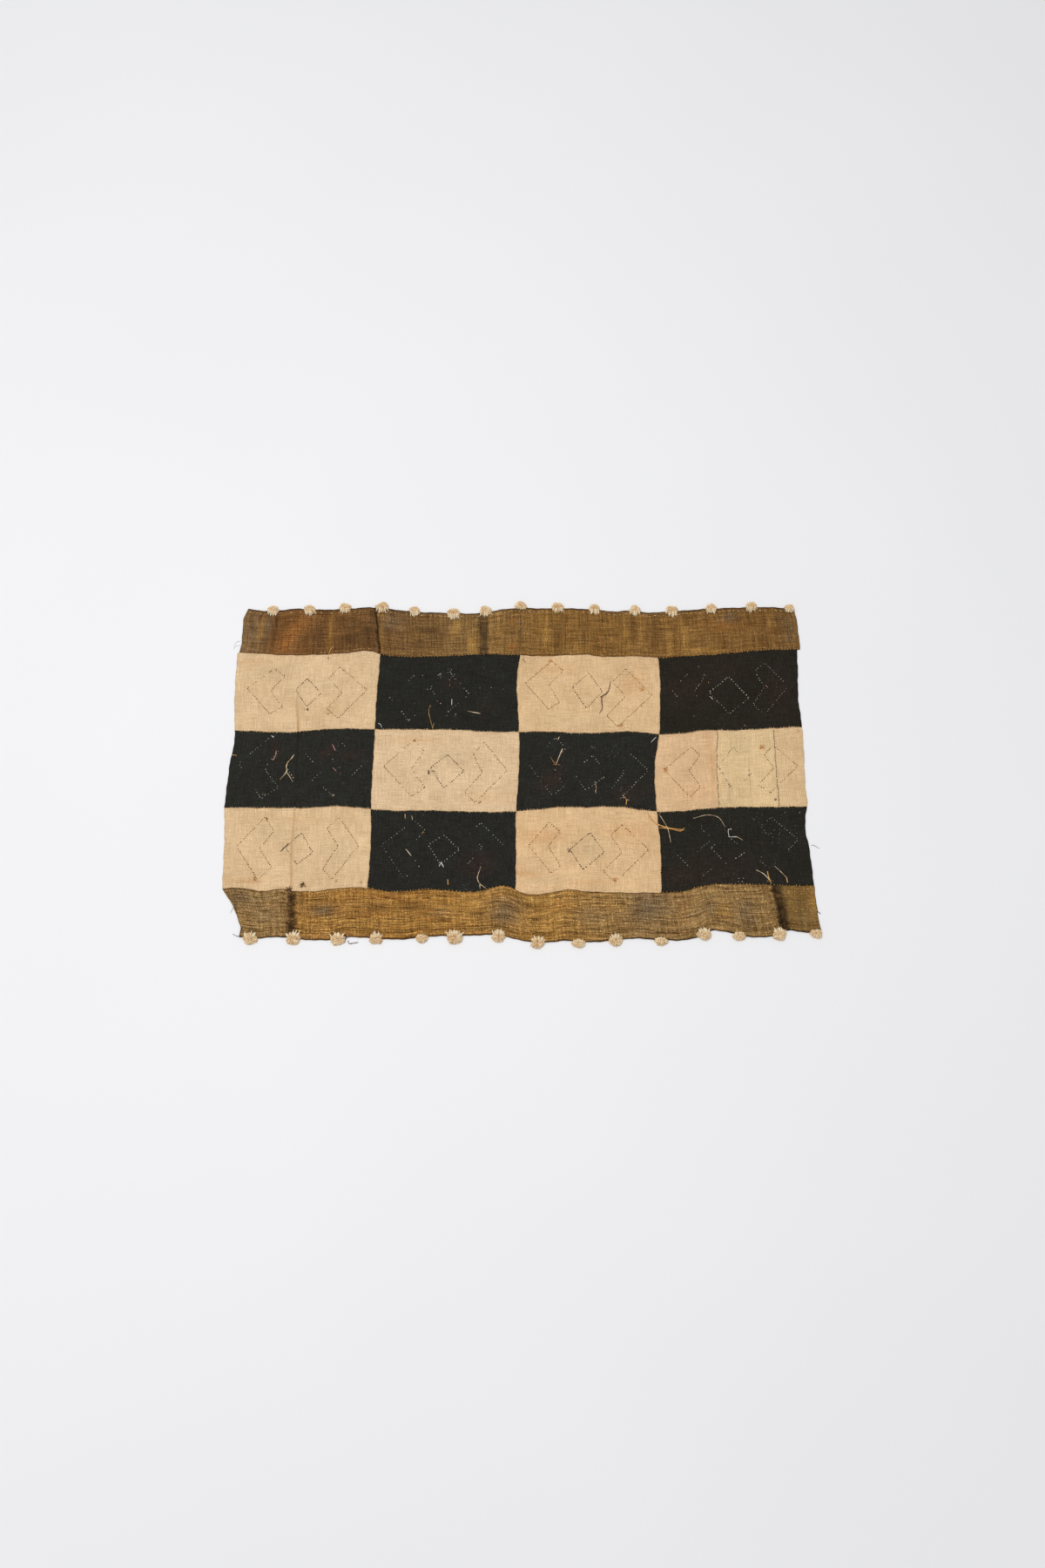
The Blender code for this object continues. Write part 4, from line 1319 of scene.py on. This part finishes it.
loose_chance = random.Random(34)
bm = new_work()
for kind, half, arch, points in LOOSE:
    lay(bm, kind, half, arch, points, loose_chance)
sew_on(bm, "loose_ends")

# %% Knots, tufts and specks
# Yarn, x, y, reach, number of fibres
TUFTS = (
    ("dark", -477, 139, 6, 12), ("dark", -200, -11, 4, 6), ("dark", 108, -193, 6, 9),
    ("orange", 209, -259, 7, 12), ("orange", 323, -7, 8, 20), ("orange", 540, 48, 8, 20),
    ("orange", 623, 87, 5, 6), ("umber", 563, -75, 4, 9), ("brown", -231, 64, 5, 7),
    ("brown", -86, -82, 5, 8), ("brown", -550, -120, 4, 6), ("brown", -568, -257, 5, 6),
    ("orange", -394, -262, 5, 6), ("orange", -339, -265, 4, 7), ("brown", -550, 236, 4, 5),
    ("brown", -398, 236, 4, 5), ("brown", -428, 128, 4, 5), ("dark", 187, 171, 4, 7),
    ("orange", 71, 261, 7, 12), ("orange", 277, 190, 7, 12), ("orange", 227, 101, 7, 12),
    ("orange", 190, 274, 4, 5), ("orange", 311, 250, 4, 5), ("pale", -408, -65, 4, 7),
    ("white", -548, 73, 3, 4), ("pink", -182, 161, 4, 4), ("pink", -176, 155, 3, 4),
    ("orange", 409, 246, 3, 4), ("orange", 429, 206, 3, 4), ("orange", 506, 101, 3, 4),
    ("white", 169, -55, 3, 5), ("white", 229, -70, 3, 4), ("orange", 81, 8, 5, 7),
    ("orange", -208, -151, 4, 5), ("bark", -494, -281, 9, 30), ("bark", -464, -272, 8, 26),
    ("bark", -486, -296, 12, 50), ("bark", -488, -316, 10, 26), ("bark", -484, -338, 10, 26),
    ("bark", -486, -356, 13, 54), ("gold", -488, -292, 10, 18), ("gold", -486, -318, 9, 12),
    ("gold", -484, -352, 10, 18), ("umber", -487, -302, 9, 14), ("umber", -485, -364, 9, 14),
    ("umber", 547, -282, 9, 20), ("bark", 556, -300, 11, 24), ("umber", 557, -322, 10, 20),
    ("umber", 562, -352, 11, 30), ("bark", 566, -368, 10, 20), ("gold", 556, -294, 8, 8),
    ("gold", 582, -292, 11, 14), ("umber", -327, 396, 8, 16), ("gold", 540, -262, 7, 10),
    ("white", 462, -143, 3, 3), ("orange", 188, 276, 4, 5), ("dark", 214, -107, 2, 4),
)
# Yarn, x, y, and how far round that place the specks lie
SPECKS = (
    ("white", -219, 224, 1), ("white", -179, 224, 5), ("white", -207, 190, 2), ("white", -62, 194, 1),
    ("white", -162, 126, 2), ("white", -141, 129, 3), ("white", -233, 125, 1), ("grey", -79, 242, 1),
    ("white", -158, 234, 6), ("grey", -249, 114, 5), ("grey", 521, -117, 12), ("grey", 563, -159, 16),
    ("grey", 540, -135, 22), ("grey", 590, -130, 26), ("pink", 399, -138, 2), ("grey", -210, -110, 2),
    ("white", 344, 40, 1), ("white", 478, -262, 8), ("grey", -120, -270, 22), ("grey", 210, 40, 14),
    ("grey", 165, 50, 4), ("grey", -560, -64, 4), ("pink", -400, -6, 8), ("grey", 230, -50, 12),
    ("pale", 3, 350, 6), ("pale", 5, 336, 6), ("pale", 3, 364, 6), ("white", -160, 215, 16),
    ("pale", -56, 352, 12),
)
SPECKS_EACH = 7
SPECKS_FEW = 2

bm = new_work()
for kind, x, y, reach, count in TUFTS:
    for _ in range(count):
        turn = loose_chance.uniform(0, 2 * math.pi)
        away = loose_chance.uniform(0, 0.35) * reach
        px, py = x + away * math.cos(turn), y + away * math.sin(turn)
        high = loose_chance.uniform(0.6, 1.0) * min(3.2, 0.4 * reach)
        length = loose_chance.uniform(0.4, 0.9) * reach
        half = loose_chance.uniform(0.3, 0.6)
        path = []
        for share, rise in ((0.0, 0.0), (0.5, 1.0), (1.0, 0.5)):
            qx, qy = px + share * length * math.cos(turn), py + share * length * math.sin(turn)
            path.append(Vector((qx, qy, ground(qx, qy) + rise * high)))
        strand(bm, path, (half, half, 0.5 * half), [yarn(kind, loose_chance.random())] * 3)
for kind, x, y, reach in SPECKS:
    for _ in range(SPECKS_EACH if reach > 3 else SPECKS_FEW):
        px, py = x + loose_chance.uniform(-1, 1) * reach, y + loose_chance.uniform(-1, 1) * reach
        turn = loose_chance.uniform(0, math.pi)
        size = loose_chance.uniform(0.8, 1.7)
        sew(bm, px, py, turn, size, size, 0.5, yarn(kind, loose_chance.random()))
sew_on(bm, "knots_and_tufts")

# %% [markdown]
# ## Pompoms
# A pompom is a bunch of raffia sewn on by its middle and shorn round. Seen from above it is a small dome
# of strand ends, and toward the cloth some locks lie longer and end in points. The strands start close
# together and fan out to the dome, in the even turns that a sunflower's seeds have, so that few of them
# fill it without gaps. Each strand is painted dark where it starts, as shade inside the bunch, and pale at
# its shorn end.

# %% Pompoms
STRANDS = 140
# A squat pompom lies partly under the cloth's edge
SQUAT = {"top": (8,), "bottom": (5, 9, 11, 13, 15)}
SQUAT_SHARE = 0.55
# How far out the strands beyond the edge of the cloth reach
OUTER_SHARE = {"top": 1.0, "bottom": 0.86}
GOLDEN_TURN = math.pi * (3 - math.sqrt(5))
# How many long locks each pompom has, from left to right
LOCKS = {
    "top": (6, 5, 5, 5, 5, 7, 4, 1, 5, 6, 4, 6, 5, 4, 3),
    "bottom": (5, 7, 7, 6, 4, 7, 7, 6, 4, 6, 3, 7, 5, 6, 3),
}
# The most that a lock reaches past the rim of the dome
LOCK_REACH = {"top": 3.8, "bottom": 6.0}
# From the bunch to the shorn end: the dark bunch end is painted shade
STRAND_SHADES = (0.0, 0.7, 1.0)
LOCK_SHADES = (0.2, 0.8, 0.95, 1.0)


def make_pompom(side, number, chance):
    """One pompom in the place of its node."""
    node = f"{side}_pompom_{number:02d}"
    low, high = (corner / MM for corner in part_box(node))
    outward = 1 if side == "top" else -1
    middle = Vector(((low.x + high.x) / 2, (low.y + high.y) / 2, 0))
    across, deep = (high.x - low.x) / 2, (high.y - low.y) / 2
    edge_y = float((top_edge if side == "top" else bottom_edge)(middle.x))
    rest = float(surface(middle.x, edge_y - 4 * outward))
    tall = high.z - rest - 0.6
    bm = new_work()
    root = Vector((middle.x, (middle.y + edge_y) / 2, rest + 0.25 * tall))
    squat = number in SQUAT[side]
    inner = SQUAT_SHARE if squat else 1.0
    outer = OUTER_SHARE[side] * (0.9 if squat else 1.0)

    def dome(turn, rise, reach):
        """The point of the dome in a direction."""
        flat = Vector((across * math.cos(turn), deep * math.sin(turn), 0)) * math.cos(rise) * reach
        flat.y *= inner if flat.y * outward < 0 else outer
        on_cloth = (middle.y + flat.y - edge_y) * outward < 1.0
        foot = rest if on_cloth else 0.6
        return middle + flat + Vector((0, 0, foot + (rest + tall - foot) * math.sin(rise) * reach))

    lumps = [(chance.uniform(0, 2 * math.pi), chance.uniform(0.05, 0.12)) for _ in range(3)]
    for i in range(STRANDS):
        turn = i * GOLDEN_TURN + chance.uniform(-0.15, 0.15)
        rise = math.asin(min(1.0, max(0.03, (i + 0.5) / STRANDS + chance.uniform(-0.03, 0.03))))
        lump = sum(size * math.cos((n + 2) * turn + start) for n, (start, size) in enumerate(lumps))
        tip = dome(turn, rise, chance.uniform(0.88, 1.02) + 0.5 * lump * math.cos(rise))
        bend = root.lerp(tip, 0.55) + Vector((0, 0, 1.2 * math.cos(rise)))
        radii = (0.4, 1.0, chance.uniform(0.8, 1.35))
        tone = 0.15 + 0.85 * chance.random()
        # painted shade: each strand is darkest at the bunch
        colours = [yarn("pompom", shade * tone) for shade in STRAND_SHADES]
        strand(bm, [root, bend, tip], radii, colours, sides=4)
    count = LOCKS[side][number - 1]
    for i in range(count):
        place = ((i + 0.5) / count - 0.5) * 1.6 + chance.uniform(-0.12, 0.12)
        aim = 0.55 * place + chance.uniform(-0.3, 0.3)
        away = Vector((math.sin(aim), -outward * math.cos(aim), 0))
        start = middle + Vector((0.8 * place * across, 0, 0))
        rim = inner * deep * math.sqrt(max(0.3, 1 - place * place))
        long = chance.uniform(0.5, LOCK_REACH[side]) * inner
        path = []
        for out, over in ((0.1 * rim, 0.98 * tall), (0.55 * rim, 0.85 * tall), (0.95 * rim, 0.4 * tall),
                          (rim + long, 0.8)):
            spot = start + away * out
            path.append(Vector((spot.x, spot.y, ground(spot.x, spot.y) + over)))
        thick = chance.uniform(0.9, 1.7)
        # painted shade: each lock is darker at the bunch
        colours = [yarn("pompom", shade) for shade in LOCK_SHADES]
        strand(bm, path, (0.5, thick, 0.8 * thick, 0.25), colours, sides=4, flat=0.7)
    made = sew_on(bm, f"pompom_{side}_{number:02d}")
    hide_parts(node)


pompom_chance = random.Random(13)
for side, locks in LOCKS.items():
    for number in range(len(locks)):
        make_pompom(side, number + 1, pompom_chance)
